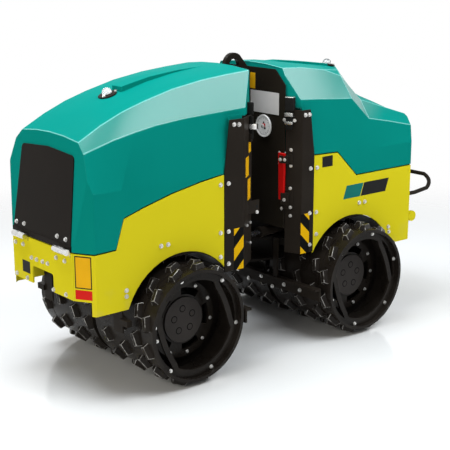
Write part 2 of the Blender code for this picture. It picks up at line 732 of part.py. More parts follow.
def hinge_knuckles(target, unit, proud):
    """Middle knuckle of each hinge, on the hood's side, with a leaf up the hood's face."""
    hinge = (FRONT_HINGE_X, FRONT_HINGE_Z) if unit > 0 else (REAR_HINGE_X, REAR_HINGE_Z)
    half = KNUCKLE_LENGTH / 2
    knuckles, bores = bmesh.new(), bmesh.new()
    for y in (-HINGE_Y, HINGE_Y):
        prism(knuckle(hinge, unit, 1, proud), "y", y - half, y + half, knuckles)
        prism(circle(*hinge, HINGE_PIN + PIN_FIT, 12), "y", y - half - 0.01, y + half + 0.01, bores)
    join(target, knuckles)
    return cut(target, bores)


def front_bulkhead():
    low = DECK_Z + DECK_THICK + SEAT
    half, top_half = FRONT_WALL_HALF, FRONT_WALL_TOP_HALF
    right = ((half, low), (half, FRONT_WALL_SHOULDER_Z), (top_half, FRONT_WALL_TOP_Z))
    outline = right + tuple((-y, z) for y, z in right[::-1])
    wall = prism(outline, "x", FRONT_WALL_X, FRONT_WALL_X + FRONT_WALL_THICK)
    return piece("front_bulkhead", wall, "black")


def rear_bulkhead():
    """Wall of the rear unit with the lifting eye that reaches out over the steering pin."""
    half = BULK_HALF - SEAT
    right = ((half, BULK_FOOT_Z), (half, BULK_SHOULDER_Z), (BULK_TOP_HALF, BULK_TOP_Z))
    outline = right + tuple((-y, z) for y, z in right[::-1])
    face = BULK_FACE_X
    wall = piece("rear_bulkhead", prism(outline, "x", face - BULK_WALL, face), "black")
    x, z = EYE_HOLE_X, EYE_HOLE_Z
    eye = [(face - 0.003, z - EYE_FOOT_DROP), (face - 0.003, z - 0.030)]
    eye += arc(x, z, EYE_RIM, math.radians(125.0), math.radians(-20.0), 10)
    eye += [(x + 0.030, z - 0.047), (x - 0.020, z - 0.077)]
    join(wall, prism(eye, "y", -EYE_PLATE / 2, EYE_PLATE / 2))
    return cut(wall, prism(circle(x, z, EYE_HOLE, 24), "y", -EYE_PLATE, EYE_PLATE))


def front_beam():
    """Cross beam with the bearing of the roll joint."""
    half = PILLAR_HALF - PILLAR_WALL - SEAT
    centre = (0.0, 0.0, ROLL_Z)
    bar = block((BEAM_PLATE_X, -half, BEAM_LOW_Z), (BEAM_OUTER_X, half, BEAM_HIGH_Z))
    beam = piece("front_cross_beam", bar, "cast")
    join(beam, block((BEAM_PLATE_X + 0.003, -BEAM_WEB_HALF, BEAM_HIGH_Z - 0.004),
                     (BEAM_PLATE_X + 0.013, BEAM_WEB_HALF, DECK_Z - SEAT)))
    join(beam, rod(BEARING_RADIUS, centre, "x", BEAM_INNER_X, BEAM_OUTER_X + 0.004, 28))
    bore = ROLL_SHAFT_RADIUS + PIN_FIT
    return cut(beam, rod(bore, centre, "x", BEAM_INNER_X - 0.02, BEAM_OUTER_X + 0.02, 28))


def centre_link(axis):
    """Trunnion of the steering pin, with the roll shaft and the arm of the steering cylinder."""
    centre = (0.0, 0.0, ROLL_Z)
    flange = (LINK_FLANGE_X, LINK_FLANGE_X + LINK_FLANGE_THICK)
    inside = LINK_FLANGE_X + 0.004
    trunnion = rod(TRUNNION_RADIUS, centre, "z", -TRUNNION_HALF, TRUNNION_HALF, 28)
    link = piece("centre_link", trunnion, "cast", axis)
    neck = TRUNNION_HALF - 0.008
    join(link, block((0.010, -NECK_HALF, ROLL_Z - neck), (inside, NECK_HALF, ROLL_Z + neck)))
    join(link, rod(LINK_FLANGE_RADIUS, centre, "x", *flange, 28))
    join(link, rod(ROLL_SHAFT_RADIUS, centre, "x", inside, ROLL_SHAFT_END, 28))
    eye_x, eye_y = ROD_EYE
    low = CYL_Z + EYE_HALF + SEAT
    high = low + ARM_THICK
    post = ((-0.050, ROLL_Z + 0.020), (0.050, ROLL_Z + 0.020), (eye_y + ARM_RADIUS, low),
            (eye_y + ARM_RADIUS, high), (eye_y - ARM_RADIUS - 0.006, high), (-0.050, ROLL_Z + 0.060))
    join(link, prism(post, "x", *flange))
    tongue = [(inside, eye_y + ARM_RADIUS), (inside, eye_y - ARM_RADIUS)]
    tongue += arc(eye_x, eye_y, ARM_RADIUS, -math.pi / 2, -3 * math.pi / 2, 8)
    join(link, prism(tongue, "z", low, high))
    return cut(link, rod(PIN_RADIUS + PIN_FIT, centre, "z", -0.06, 0.06, 24))


def rear_yoke(axis):
    """Cross beam of the rear unit with the two cheeks that hold the steering pin."""
    half = PILLAR_HALF - PILLAR_WALL - SEAT
    near, far = REAR_BEAM_INNER_X, REAR_BEAM_OUTER_X
    beam = piece("rear_cross_beam", block((far, -half, PILLAR_FOOT_Z + 0.004),
                                          (near - REAR_BEAM_STEP, half, REAR_BEAM_HIGH_Z)), "cast", axis)
    cheek = TRUNNION_HALF + SEAT
    for low in (ROLL_Z + cheek, ROLL_Z - cheek - YOKE_THICK):
        plan = [(far, YOKE_HALF), (far, -YOKE_HALF), (near, -YOKE_HALF)]
        plan += arc(0.0, 0.0, YOKE_RADIUS, -math.radians(75), math.radians(75), 8)
        plan += [(near, YOKE_HALF)]
        join(beam, prism(plan, "z", low, low + YOKE_THICK))
    foot = ROLL_Z - TRUNNION_HALF - YOKE_THICK + 0.003
    join(beam, block((far + 0.003, 0.004 - YOKE_HALF, foot),
                     (near - 0.009, YOKE_HALF - 0.004, REAR_BEAM_HIGH_Z - 0.010)))
    cut(beam, rod(PIN_RADIUS + SEAT, (0.0, 0.0, ROLL_Z), "z", -0.10, 0.10, 24))
    web_low, web_high = REAR_WEB_Y
    web_foot = REAR_BEAM_HIGH_Z - 0.008
    return join(beam, block((far + 0.005, web_low, web_foot), (far + 0.015, web_high, DECK_Z - SEAT)))


def steering_pin(axis):
    top = TRUNNION_HALF + YOKE_THICK + 2 * SEAT
    profile = ((0.0, -top - 0.010), (PIN_RADIUS, -top - 0.010), (PIN_RADIUS, top), (PIN_HEAD, top),
               (PIN_HEAD, top + 0.008), (0.0, top + 0.008))
    return piece("steering_pin", turned(profile, (0.0, 0.0, ROLL_Z), "z", 24), "steel", axis)


def cylinder_frame():
    bx, by = CYL_PIN
    ex, ey = ROD_EYE
    return math.atan2(ey - by, ex - bx), math.hypot(ex - bx, ey - by)


def turned_along(profile, sides):
    """A turned piece on the cylinder's line, measured from its pin."""
    angle, length = cylinder_frame()
    bm = turned(profile, (0.0, 0.0, 0.0), "x", sides)
    place = Matrix.Translation((CYL_PIN[0], CYL_PIN[1], CYL_Z)) @ Matrix.Rotation(angle, 4, "Z")
    bmesh.ops.transform(bm, matrix=place, verts=bm.verts)
    return bm


def steering_barrel(axis):
    foot, floor, collar = BARREL_START - 0.006, BARREL_START + 0.010, BARREL_END - 0.020
    profile = ((0.0, foot), (BARREL_RADIUS, foot), (BARREL_RADIUS, collar), (BARREL_RADIUS + 0.003, collar),
               (BARREL_RADIUS + 0.003, BARREL_END), (ROD_RADIUS + PIN_FIT, BARREL_END),
               (ROD_RADIUS + PIN_FIT, floor), (0.0, floor))
    barrel = piece("steering_barrel", turned_along(profile, 24), "black", axis)
    join(barrel, rod(EYE_RADIUS, (CYL_PIN[0], CYL_PIN[1], CYL_Z), "z", -EYE_HALF, EYE_HALF, 20))
    return cut(barrel, rod(EYE_BORE, (CYL_PIN[0], CYL_PIN[1], CYL_Z), "z", -0.05, 0.05, 20))


def steering_rod(axis):
    angle, length = cylinder_frame()
    end = length - 0.012
    profile = ((0.0, ROD_START), (ROD_RADIUS, ROD_START), (ROD_RADIUS, end), (0.0, end))
    rod_piece = piece("steering_rod", turned_along(profile, 20), "steel", axis)
    join(rod_piece, rod(EYE_RADIUS, (ROD_EYE[0], ROD_EYE[1], CYL_Z), "z", -EYE_HALF, EYE_HALF, 20))
    return cut(rod_piece, rod(EYE_BORE, (ROD_EYE[0], ROD_EYE[1], CYL_Z), "z", -0.05, 0.05, 20))


def barrel_bracket(axis):
    """Pin of the steering barrel, hung from the rear deck."""
    foot, shoulder, base = CYL_Z - EYE_HALF - 0.004, CYL_Z + EYE_HALF + SEAT, DECK_Z - SEAT
    thin, thick = EYE_BORE - PIN_FIT, BRACKET_RADIUS
    profile = ((0.0, foot), (thin, foot), (thin, shoulder), (thick, shoulder), (thick, base), (0.0, base))
    return piece("cylinder_bracket", turned(profile, (CYL_PIN[0], CYL_PIN[1], 0.0), "z", 20), "black", axis)


def inner_scraper(name, unit):
    """Scraper bar close to the drum, on two straps from the cross beam."""
    way = -unit
    drop = AXLE_Z - SCRAPER_Z
    near = unit * AXLE_X + way * (math.sqrt((TIP_RADIUS + SCRAPER_GAP) ** 2 - drop ** 2) + SCRAPER_OFF)
    far = near + way * SCRAPER_REACH
    high = SCRAPER_Z + SCRAPER_HEIGHT
    xs = sorted((near, near + way * SCRAPER_THICK))
    bar = piece(name, block((xs[0], -SCRAPER_HALF, SCRAPER_Z), (xs[1], SCRAPER_HALF, high)), "black")
    xs = sorted((near + way * 0.003, far))
    flange = SCRAPER_HALF - 0.001
    join(bar, block((xs[0], -flange, high - SCRAPER_THICK), (xs[1], flange, high + 0.001)))
    if unit > 0:
        back, top = BEAM_OUTER_X + SEAT, BEAM_HIGH_Z - 0.010
    else:
        back = REAR_BEAM_INNER_X - REAR_BEAM_STEP + SEAT + STRAP_THICK
        top = REAR_BEAM_HIGH_Z - 0.006
    straps = bmesh.new()
    xs = sorted((back, back - way * STRAP_THICK))
    foot = high - SCRAPER_THICK + 0.002
    middle = FRONT_STRAP_Y if unit > 0 else REAR_STRAP_Y
    for y in (-middle, middle):
        block((xs[0], y - STRAP_WIDTH / 2, foot), (xs[1], y + STRAP_WIDTH / 2, top), straps)
    return join(bar, straps)


def outer_scraper(name, unit):
    """Cross plate under the deck's outer end, with an arm and a hook at each side of the drum."""
    middle = AXLE_X + ARM_X
    half = STRAP_THICK / 2

    def span(reach):
        return sorted((unit * (middle - reach), unit * (middle + reach)))

    (back, front), (thin_back, thin_front) = span(half), span(half - 0.001)
    deep_back, deep_front = span(HOOK_HALF)
    foot, top = BEAM_PLATE_FOOT_Z, BEAM_PLATE_TOP_Z
    beam = piece(name, block((back, -ARM_OUTER_Y, foot), (front, ARM_OUTER_Y, top)), "black")
    arms, hangers, hooks = bmesh.new(), bmesh.new(), bmesh.new()
    for side in (-1, 1):
        inner, outer = side * ARM_INNER_Y, side * (ARM_OUTER_Y - 0.001)
        block((thin_back, inner, ARM_FOOT_Z), (thin_front, outer, foot + 0.006), arms)
        low, high = side * HANGER_Y - HANGER_WIDTH / 2, side * HANGER_Y + HANGER_WIDTH / 2
        block((thin_back, low, top - 0.006), (thin_front, high, DECK_Z - SEAT), hangers)
        root, tip = outer - side * 0.006, outer + side * HOOK_REACH
        block((deep_back, root, HOOK_Z[0]), (deep_front, tip, HOOK_Z[1]), hooks)
    join(beam, arms)
    join(beam, hangers)
    return join(beam, hooks)


# Hoods

def hood_solid(sections):
    """Closed outer form of a hood, lofted through its sections."""
    bm = bmesh.new()
    rings = []
    for xs, zs, lean, xr, zr, xc in sections:
        half = [(xs, BODY_HALF, HOOD_FOOT_Z), (xs, BODY_HALF, WAIST_Z), (xs, BODY_HALF - lean, zs),
                (xr, RIDGE_HALF, zr), ((xr + xc) / 2, RIDGE_HALF * 0.5, zr + CROWN_RISE * 0.75)]
        ring = [bm.verts.new((x, y, z)) for x, y, z in half]
        ring.append(bm.verts.new((xc, 0.0, zr + CROWN_RISE)))
        ring += [bm.verts.new((x, -y, z)) for x, y, z in half[::-1]]
        rings.append(ring)
    for a, b in zip(rings, rings[1:]):
        for i in range(len(a)):
            j = (i + 1) % len(a)
            bm.faces.new((a[i], a[j], b[j], b[i]))
    bm.faces.new(rings[0])
    bm.faces.new(rings[-1][::-1])
    bmesh.ops.recalc_face_normals(bm, faces=bm.faces)
    return bm


def slice_off(bm, point, normal):
    """Cuts away what lies beyond a plane and closes the cut."""
    geom = bm.verts[:] + bm.edges[:] + bm.faces[:]
    bmesh.ops.bisect_plane(bm, geom=geom, plane_co=point, plane_no=normal, clear_outer=True, dist=0.00001)
    open_edges = [e for e in bm.edges if e.is_boundary]
    bmesh.ops.holes_fill(bm, edges=open_edges)
    bmesh.ops.recalc_face_normals(bm, faces=bm.faces)


def plan_cut(bm, a, b):
    """Cuts both vertical corners along the plan line from a to b, outer side away from the middle."""
    (ax, ay), (bx, by) = a, b
    normal = Vector((by - ay, ax - bx, 0.0)).normalized()
    if normal.y < 0:
        normal = -normal
    for side in (1, -1):
        slice_off(bm, (ax, side * ay, 0.0), (normal.x, side * normal.y, 0.0))


def open_hood(bm, unit, inner_x):
    """Opens the foot and the inner end."""
    bm.faces.ensure_lookup_table()
    foot = [f for f in bm.faces if f.normal.z < -0.9]
    end = [f for f in bm.faces
           if f.normal.x * unit < -0.9 and abs(f.calc_center_median().x - inner_x) < 0.01]
    bmesh.ops.delete(bm, geom=foot + end, context="FACES")


def hood(name, unit, axis):
    if unit > 0:
        bm = hood_solid(FRONT_SECTIONS)
        slice_off(bm, (NOSE_X, 0.0, FRONT_EDGE_Z), Vector((1.0, 0.0, NOSE_LEAN)).normalized())
        plan_cut(bm, (CORNER_X, BODY_HALF), (NOSE_X, NOSE_HALF))
        plan_cut(bm, (PILLAR_BEND_X, BODY_HALF), (FRONT_INNER_X, FRONT_INNER_HALF))
        inner_x = FRONT_INNER_X
    else:
        bm = hood_solid(REAR_SECTIONS)
        slice_off(bm, (REAR_NOSE_X, 0.0, 0.0), (-1.0, 0.0, 0.0))
        plan_cut(bm, (REAR_NOSE_X, NOSE_HALF), (REAR_CORNER_X, BODY_HALF))
        plan_cut(bm, (REAR_HOOD_BEND_X, BODY_HALF), (REAR_INNER_X, REAR_INNER_HALF))
        inner_x = REAR_INNER_X
    open_hood(bm, unit, inner_x)
    shell = piece(name, bm, "teal", axis, keep_normals=True)
    wall = shell.modifiers.new("wall", "SOLIDIFY")
    wall.thickness = HOOD_WALL
    wall.offset = -1.0
    wall.use_even_offset = True
    lifted = [(x, z + HOOD_SEAM) for x, z in hood_edge(unit)]
    seam = lifted[-1][0] + unit * HOOD_SEAM / 2
    lifted[-1] = (seam, lifted[-1][1])
    tuck, beyond, above = seam - unit * HOOD_TUCK, seam - unit * 0.3, PILLAR_TOP_Z + HOOD_SEAM
    below = lifted + [(seam, HOOD_TUCK_Z), (tuck, HOOD_TUCK_Z), (tuck, above), (beyond, above),
                      (beyond, 0.3), (unit * 1.1, 0.3)]
    return cut(shell, prism(below, "y", -CUT_FAR, CUT_FAR))


def front_panel(axis):
    """Black panel on the leaning front face of the front hood."""
    outline = [(-PANEL_FOOT_HALF, PANEL_FOOT_Z), (PANEL_FOOT_HALF, PANEL_FOOT_Z)]
    for sign in (1, -1):
        cx = sign * (PANEL_TOP_HALF - PANEL_CORNER)
        bend = arc(cx, PANEL_TOP_Z - PANEL_CORNER, PANEL_CORNER, 0.0, math.pi / 2, 4)
        if sign < 0:
            bend = [(-(x - cx) + cx, z) for x, z in bend][::-1]
        outline += bend
        if sign > 0:
            outline.append((0.0, PANEL_TOP_Z + PANEL_ARCH))
    bm = bmesh.new()
    out = Vector((1.0, 0.0, NOSE_LEAN)).normalized()
    near, far = [], []
    for y, z in outline:
        face = Vector((NOSE_X - NOSE_LEAN * (z - FRONT_EDGE_Z), y, z)) + out * SEAT
        near.append(bm.verts.new(face))
        far.append(bm.verts.new(face + out * PANEL_WALL))
    bm.faces.new(near)
    bm.faces.new(far[::-1])
    for i in range(len(near)):
        j = (i + 1) % len(near)
        bm.faces.new((near[i], near[j], far[j], far[i]))
    return piece("front_hood_panel", bm, "black", axis)


def hinge_plate(axis):
    """Plate across the rear hood's end face that carries its hinge knuckles."""
    near = REAR_NOSE_X - SEAT
    low = REAR_EDGE_Z + HOOD_SEAM + 0.004
    return piece("rear_hinge_plate", block((near - HINGE_PLATE_THICK, -HINGE_PLATE_HALF, low),
                                           (near, HINGE_PLATE_HALF, low + HINGE_PLATE_HEIGHT)), "teal", axis)


def crown_z(sections, x):
    """Height of a hood's crown line at x, between its sections."""
    rows = sorted((row[5], row[4] + CROWN_RISE) for row in sections)
    for (x0, z0), (x1, z1) in zip(rows, rows[1:]):
        if x0 <= x <= x1:
            return z0 + (z1 - z0) * (x - x0) / (x1 - x0)
    return rows[-1][1]


def crown_slope(sections, x):
    return (crown_z(sections, x + 0.02) - crown_z(sections, x - 0.02)) / 0.04


def sensor(unit, axis):
    """Round receiver with a clear dome on the crown of a hood."""
    sections = FRONT_SECTIONS if unit > 0 else REAR_SECTIONS
    x = unit * SENSOR_X
    tilt = Matrix.Translation((x, 0.0, crown_z(sections, x))) @ Matrix.Rotation(
        -math.atan(crown_slope(sections, x)), 4, "Y")
    name = "front" if unit > 0 else "rear"
    rim = ((0.0, SEAT), (SENSOR_RADIUS, SEAT), (SENSOR_RADIUS, SENSOR_RIM), (SENSOR_COLLAR, SENSOR_BASE),
           (0.0, SENSOR_BASE))
    base = turned(rim, (0.0, 0.0, 0.0), "z", 24)
    bmesh.ops.transform(base, matrix=tilt, verts=base.verts)
    piece(name + "_sensor_base", base, "black", axis)
    profile = [(DOME_RADIUS * math.cos(a), SENSOR_BASE + SEAT + DOME_RADIUS * math.sin(a))
               for a in (math.radians(d) for d in (0, 22.5, 45, 67.5))]
    profile.append((0.0, SENSOR_BASE + SEAT + DOME_RADIUS))
    profile.append((0.0, SENSOR_BASE + SEAT))
    dome = turned(profile, (0.0, 0.0, 0.0), "z", 16)
    bmesh.ops.transform(dome, matrix=tilt, verts=dome.verts)
    piece(name + "_sensor_dome", dome, "clear", axis)


# Small pieces of the rear unit

def guard(axis):
    """Tube guard round the rear end, bent up to its cross bar."""
    root = REAR_CORNER_X - 0.030
    way = [Vector((root, GUARD_HALF, GUARD_Z)), Vector((REAR_NOSE_X - 0.010, GUARD_HALF, GUARD_Z)),
           Vector((GUARD_BAR_X + GUARD_BEND, GUARD_HALF, GUARD_Z + 0.010))]
    corner = Vector((GUARD_BAR_X, GUARD_HALF - 0.010, (GUARD_Z + GUARD_BAR_Z) / 2 + 0.008))
    end = Vector((GUARD_BAR_X, GUARD_HALF - 0.010 - GUARD_BEND, GUARD_BAR_Z))
    points = list(way)
    for k in range(1, 6):
        t = k / 6
        points.append(way[2] * (1 - t) ** 2 + corner * 2 * t * (1 - t) + end * t * t)
    points.append(end)
    points += [Vector((p.x, -p.y, p.z)) for p in points[::-1]]
    bm = sweep(points, GUARD_RADIUS, 12)
    slope = (BODY_HALF - NOSE_HALF) / (REAR_CORNER_X - REAR_NOSE_X)
    for vert in bm.verts:
        if abs(vert.co.x - root) < 0.0001:
            vert.co.x = REAR_CORNER_X - (BODY_HALF - abs(vert.co.y)) / slope - SEAT * 1.5
    return piece("rear_guard", bm, "black", axis)


def sweep(points, radius, sides):
    """A closed tube along a path."""
    bm = bmesh.new()
    rings = []
    across = Vector((0.0, 0.0, 1.0))
    for i, point in enumerate(points):
        ahead = points[min(i + 1, len(points) - 1)] - points[max(i - 1, 0)]
        ahead.normalize()
        across = (across - ahead * across.dot(ahead)).normalized()
        other = ahead.cross(across)
        rings.append([bm.verts.new(point + (across * math.cos(a) + other * math.sin(a)) * radius)
                      for a in (math.tau * k / sides for k in range(sides))])
    for a, b in zip(rings, rings[1:]):
        for i in range(sides):
            j = (i + 1) % sides
            bm.faces.new((a[i], a[j], b[j], b[i]))
    bm.faces.new(rings[0])
    bm.faces.new(rings[-1][::-1])
    return bm


def dial(axis):
    face = BULK_FACE_X + SEAT
    profile = ((0.0, face), (DIAL_RADIUS * 0.8, face), (DIAL_RADIUS, face + DIAL_DEPTH * 0.4),
               (DIAL_RADIUS, face + DIAL_DEPTH), (0.0, face + DIAL_DEPTH))
    return piece("rear_dial", turned(profile, (0.0, DIAL_Y, DIAL_Z), "x", 28), "white", axis)


def lock_bar(axis):
    """Red bar that locks the pivot for transport, stowed on the edge of the rear bulkhead."""
    face = BULK_FACE_X + SEAT
    (low, high), (foot, head) = LOCK_Z, LOCK_WIDTH
    outline = ((LOCK_Y - foot / 2, low), (LOCK_Y + foot / 2, low), (LOCK_Y + head / 2, high),
               (LOCK_Y - head / 2, high))
    return piece("lock_bar", prism(outline, "x", face, face + LOCK_THICK), "red", axis)


# Assembly

def build():
    clear_scene()
    front_axle = pivot("front_axle_line", (AXLE_X, 0.0, AXLE_Z))
    rear_axle = pivot("rear_axle_line", (-AXLE_X, 0.0, AXLE_Z))
    roll = pivot("roll_line", (0.0, 0.0, ROLL_Z))
    steer = pivot("steering_line", (0.0, 0.0, ROLL_Z))
    front_hinge = pivot("front_hood_line", (FRONT_HINGE_X, 0.0, FRONT_HINGE_Z))
    rear_hinge = pivot("rear_hood_line", (REAR_HINGE_X, 0.0, REAR_HINGE_Z))
    barrel_pin = pivot("barrel_pin_line", (CYL_PIN[0], CYL_PIN[1], CYL_Z))
    rod_line = pivot("rod_line", (ROD_EYE[0], ROD_EYE[1], CYL_Z))

    for unit, label, line, phase in ((1, "front", front_axle, 12.5), (-1, "rear", rear_axle, 22.7)):
        axle_carrier(label + "_axle_carrier", unit)
        axle(label + "_axle", unit, line, phase)
        drum_half(label + "_drum_left", unit, 1, line)
        drum_half(label + "_drum_right", unit, -1, line)
        deck(label + "_deck", unit)
        end_plate(label + "_end_plate", unit)
        for side, hand in ((1, "left"), (-1, "right")):
            side_plate(label + "_side_" + hand, unit, side)
            pillar(label + "_pillar_" + hand, unit, side)
        outer_scraper(label + "_scraper_outer", unit)
        inner_scraper(label + "_scraper_inner", unit)

    front_bulkhead()
    front_beam()
    piece("engine", block(*ENGINE_BOX), "cast")
    centre_link(roll)
    rear_yoke(steer)
    steering_pin(steer)
    rear_bulkhead()
    steering_barrel(barrel_pin)
    steering_rod(rod_line)
    barrel_bracket(steer)
    guard(steer)
    dial(steer)
    lock_bar(steer)

    hood("front_hood", 1, front_hinge)
    hood("rear_hood", -1, rear_hinge)
    hinge_knuckles(hinge_plate(rear_hinge), -1, LEAF_PROUD)
    hinge_knuckles(front_panel(front_hinge), 1, LEAF_PROUD)
    sensor(1, front_hinge)
    sensor(-1, rear_hinge)

    machine = pivot("machine", (MIDDLE_X, 0.0, 0.0))
    for obj in list(bpy.data.objects):
        if obj.parent is None and obj is not machine:
            obj.parent = machine


build()
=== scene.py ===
# %% [markdown]
# # A trench roller from a imported frame
# The machine is an articulated compactor: two short units on padfoot drums, joined by a
# pivot, with teal hoods over yellow sheet metal. The frame brings every solid at its real
# place. These cells give each surface its finish, bare steel on the hinges included, and add
# the bolts, labels and small fittings that a construction model leaves out.

# %% Load the frame
import json
import math
import bpy
from mathutils import Matrix, Vector
from mathutils.bvhtree import BVHTree


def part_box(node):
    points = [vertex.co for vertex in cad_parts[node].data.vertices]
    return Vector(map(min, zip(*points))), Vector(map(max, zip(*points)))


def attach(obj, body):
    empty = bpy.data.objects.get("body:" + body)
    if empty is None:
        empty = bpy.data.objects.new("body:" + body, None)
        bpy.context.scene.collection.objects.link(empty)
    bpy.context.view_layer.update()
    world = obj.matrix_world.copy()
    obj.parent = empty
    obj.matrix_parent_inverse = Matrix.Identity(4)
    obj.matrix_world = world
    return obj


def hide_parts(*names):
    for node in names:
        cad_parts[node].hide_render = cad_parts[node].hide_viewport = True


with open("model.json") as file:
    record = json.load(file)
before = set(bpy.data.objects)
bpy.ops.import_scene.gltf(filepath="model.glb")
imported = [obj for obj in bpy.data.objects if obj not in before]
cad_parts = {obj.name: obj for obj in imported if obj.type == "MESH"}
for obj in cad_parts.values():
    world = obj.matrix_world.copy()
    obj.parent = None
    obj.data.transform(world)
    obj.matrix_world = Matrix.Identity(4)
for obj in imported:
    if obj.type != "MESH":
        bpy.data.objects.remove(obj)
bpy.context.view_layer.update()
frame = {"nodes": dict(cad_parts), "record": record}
nodes = frame["nodes"]
body_of = {node: body for body, members in frame["record"]["behaviour"]["bodies"].items() for node in members}
# Sizes in this script are measured from the steering pin, which stands this far ahead of the origin
PIN_X = next(j["pos_m"][0] for j in frame["record"]["behaviour"]["joints"] if j["name"] == "steering")

# %% [markdown]
# ## Camera
# The photograph was taken with a long lens from the left front, a little above the hoods.
# Distance and lens were fitted together, because perspective fixes the distance and the
# size in the picture then fixes the lens. With no depth of field all of it stays sharp.

# %% Camera at the photograph's place
CAMERA_PLACE = Vector((PIN_X + 3.0914, 3.6937, 1.7543))
AZIMUTH, ELEVATION, ROLL = math.radians(140.127), math.radians(14.35), math.radians(-0.082)
back = Vector((math.sin(AZIMUTH) * math.cos(ELEVATION), -math.cos(AZIMUTH) * math.cos(ELEVATION),
               math.sin(ELEVATION)))
bpy.ops.object.camera_add(location=CAMERA_PLACE)
camera = bpy.context.object
camera.rotation_mode = "QUATERNION"
camera.rotation_quaternion = back.to_track_quat("Z", "Y")
camera.rotation_quaternion.rotate(Matrix.Rotation(ROLL, 3, back))
camera.data.sensor_width = 36.0
camera.data.lens = 86.54
camera.data.clip_end = 60.0
bpy.context.scene.camera = camera
bpy.context.scene.view_settings.view_transform = "Standard"
print("camera", [round(v, 3) for v in camera.location], "lens", camera.data.lens)

# %% [markdown]
# ## Shader maths in Python
# A procedural finish is mostly arithmetic on numbers that change over the surface. Wrapping
# a socket in a small class lets `noise * 0.3 + edge` build its Math nodes by itself, which
# is far easier to read than a tree of boxes. Colours need their own mixing node, because a
# Math node would turn them grey.

# %% A socket that does arithmetic
def operator(name, swapped=False):
    """A method that sends its two values to a Math node."""
    return lambda self, other: self.bench.maths(name, *((other, self) if swapped else (self, other)))


class Field:
    def __init__(self, bench, socket):
        self.bench, self.socket = bench, socket

    __add__ = __radd__ = operator("ADD")
    __mul__ = __rmul__ = operator("MULTIPLY")
    __sub__, __rsub__ = operator("SUBTRACT"), operator("SUBTRACT", True)
    __truediv__ = operator("DIVIDE")


# %% The bench where a material is put together
class Bench:
    def __init__(self, name):
        self.material = bpy.data.materials.new(name)
        self.material.use_nodes = True
        self.tree = self.material.node_tree
        self.shader = self.tree.nodes["Principled BSDF"]
        self.place = self.node("ShaderNodeTexCoord", output="Object")

    def node(self, kind, settings=None, inputs=None, output=0):
        made = self.tree.nodes.new(kind)
        for key, value in (settings or {}).items():
            setattr(made, key, value)
        for key, value in inputs.items() if isinstance(inputs, dict) else enumerate(inputs or ()):
            self.feed(made.inputs[key], value)
        return Field(self, made.outputs[output])

    def feed(self, socket, value):
        """A field becomes a link; a plain number or colour goes on the socket itself."""
        if isinstance(value, Field):
            self.tree.links.new(value.socket, socket)
        else:
            socket.default_value = (*value, 1.0) if socket.type == "RGBA" else value

    def maths(self, operation, *values):
        return self.node("ShaderNodeMath", {"operation": operation}, values)

    def noise(self, scale, detail=3.0, rough=0.5, place=None):
        return self.node("ShaderNodeTexNoise", None, {"Vector": place or self.place, "Scale": scale,
                                                       "Detail": detail, "Roughness": rough})

    def ramp(self, field, low, high):
        """0 below low, 1 above high, smooth between."""
        return self.node("ShaderNodeMapRange", {"interpolation_type": "SMOOTHSTEP"},
                         {"Value": field, "From Min": low, "From Max": high})

    def parts(self, vector):
        """The x, y and z of a field of vectors."""
        return [Field(self, s) for s in self.node("ShaderNodeSeparateXYZ", None, [vector]).socket.node.outputs]

    def axes(self):
        return self.parts(self.place)

    def tilt(self):
        """The upward part of the face's normal: 0 on a wall, 1 on a flat top."""
        return self.parts(self.node("ShaderNodeNewGeometry", output="Normal"))[2]

    def mix(self, factor, a, b):
        made = self.tree.nodes.new("ShaderNodeMix")
        made.data_type = "RGBA"
        for number, value in ((0, factor), (6, a), (7, b)):
            self.feed(made.inputs[number], value)
        return Field(self, made.outputs[2])

    def set(self, **sockets):
        """Puts fields or plain numbers on the shader's own sockets."""
        for name, value in sockets.items():
            self.feed(self.shader.inputs[name.replace("_", " ")], value)
        return self

    def bump(self, height, strength, distance):
        normal = self.node("ShaderNodeBump", None, {"Height": height, "Strength": strength, "Distance": distance})
        return self.set(Normal=normal)


print("shader bench ready")

# %% [markdown]
# ## Painted sheet metal
# The hoods and sides carry a two-pack paint. What makes it read as paint is the faint
# orange peel in its reflections, a clear coat that shines on the shoulders, and specks of
# dust that gather low down. One recipe serves both colours, and a paler teal on the upward
# faces of the creases is a painted highlight.

# %% Teal and yellow paint
def body_paint(name, colour, deep, painted_highlight=None):
    """Paint with a softer clouded tone; the last colour, if given, is painted on rounded edges that face up, a
    painted highlight along the creases.
    """
    bench = Bench(name)
    height = bench.axes()[2]
    cloud = bench.noise(2.3, 4.0)
    film = bench.ramp(cloud, 0.42, 0.72)
    tone = bench.mix(film * 0.5, colour, deep)
    speck = bench.ramp(bench.noise(95.0, 5.0, 0.7), 0.68, 0.76)
    low = bench.ramp(height, 0.56, 0.34)
    dust = (speck * 0.05 + low * bench.ramp(bench.noise(14.0, 5.0), 0.48, 0.78) * 0.1)
    tone = bench.mix(dust, tone, (0.46, 0.42, 0.33))
    peel = bench.noise(240.0, 2.0) * 0.6 + bench.noise(70.0, 2.0) * 0.4
    facing_up = bench.tilt()
    # The clear coat shines only on shoulders: steeper than the tops, less steep than the walls
    slope = bench.ramp(facing_up, 0.38, 0.45) * bench.ramp(facing_up, 0.76, 0.66)
    # Rounded edges that face up take the paler colour: a painted highlight
    if painted_highlight:
        tone = bench.mix(bench.ramp(facing_up, 0.25, 0.5), tone, painted_highlight)
    bench.set(Base_Color=tone, Roughness=0.34 + dust * 1.1 + film * 0.05, Coat_Weight=0.01 + slope * 0.98,
              Coat_Roughness=0.24, Coat_IOR=1.5, IOR=1.02)
    return bench.bump(peel, 0.05, 0.0005).material


TEAL_TONES = (0.0024, 0.232, 0.192), (0.0018, 0.213, 0.176)
TEAL = body_paint("teal_paint", *TEAL_TONES)
YELLOW = body_paint("yellow_paint", (0.7, 0.6, 0.016), (0.66, 0.56, 0.014))
# The hood creases get a paler teal where they face up: a painted highlight
TEAL_PAINTED_HIGHLIGHT = body_paint("teal_paint_crease_highlight", *TEAL_TONES, (0.13, 0.45, 0.41))
print("paints", TEAL.name, YELLOW.name)
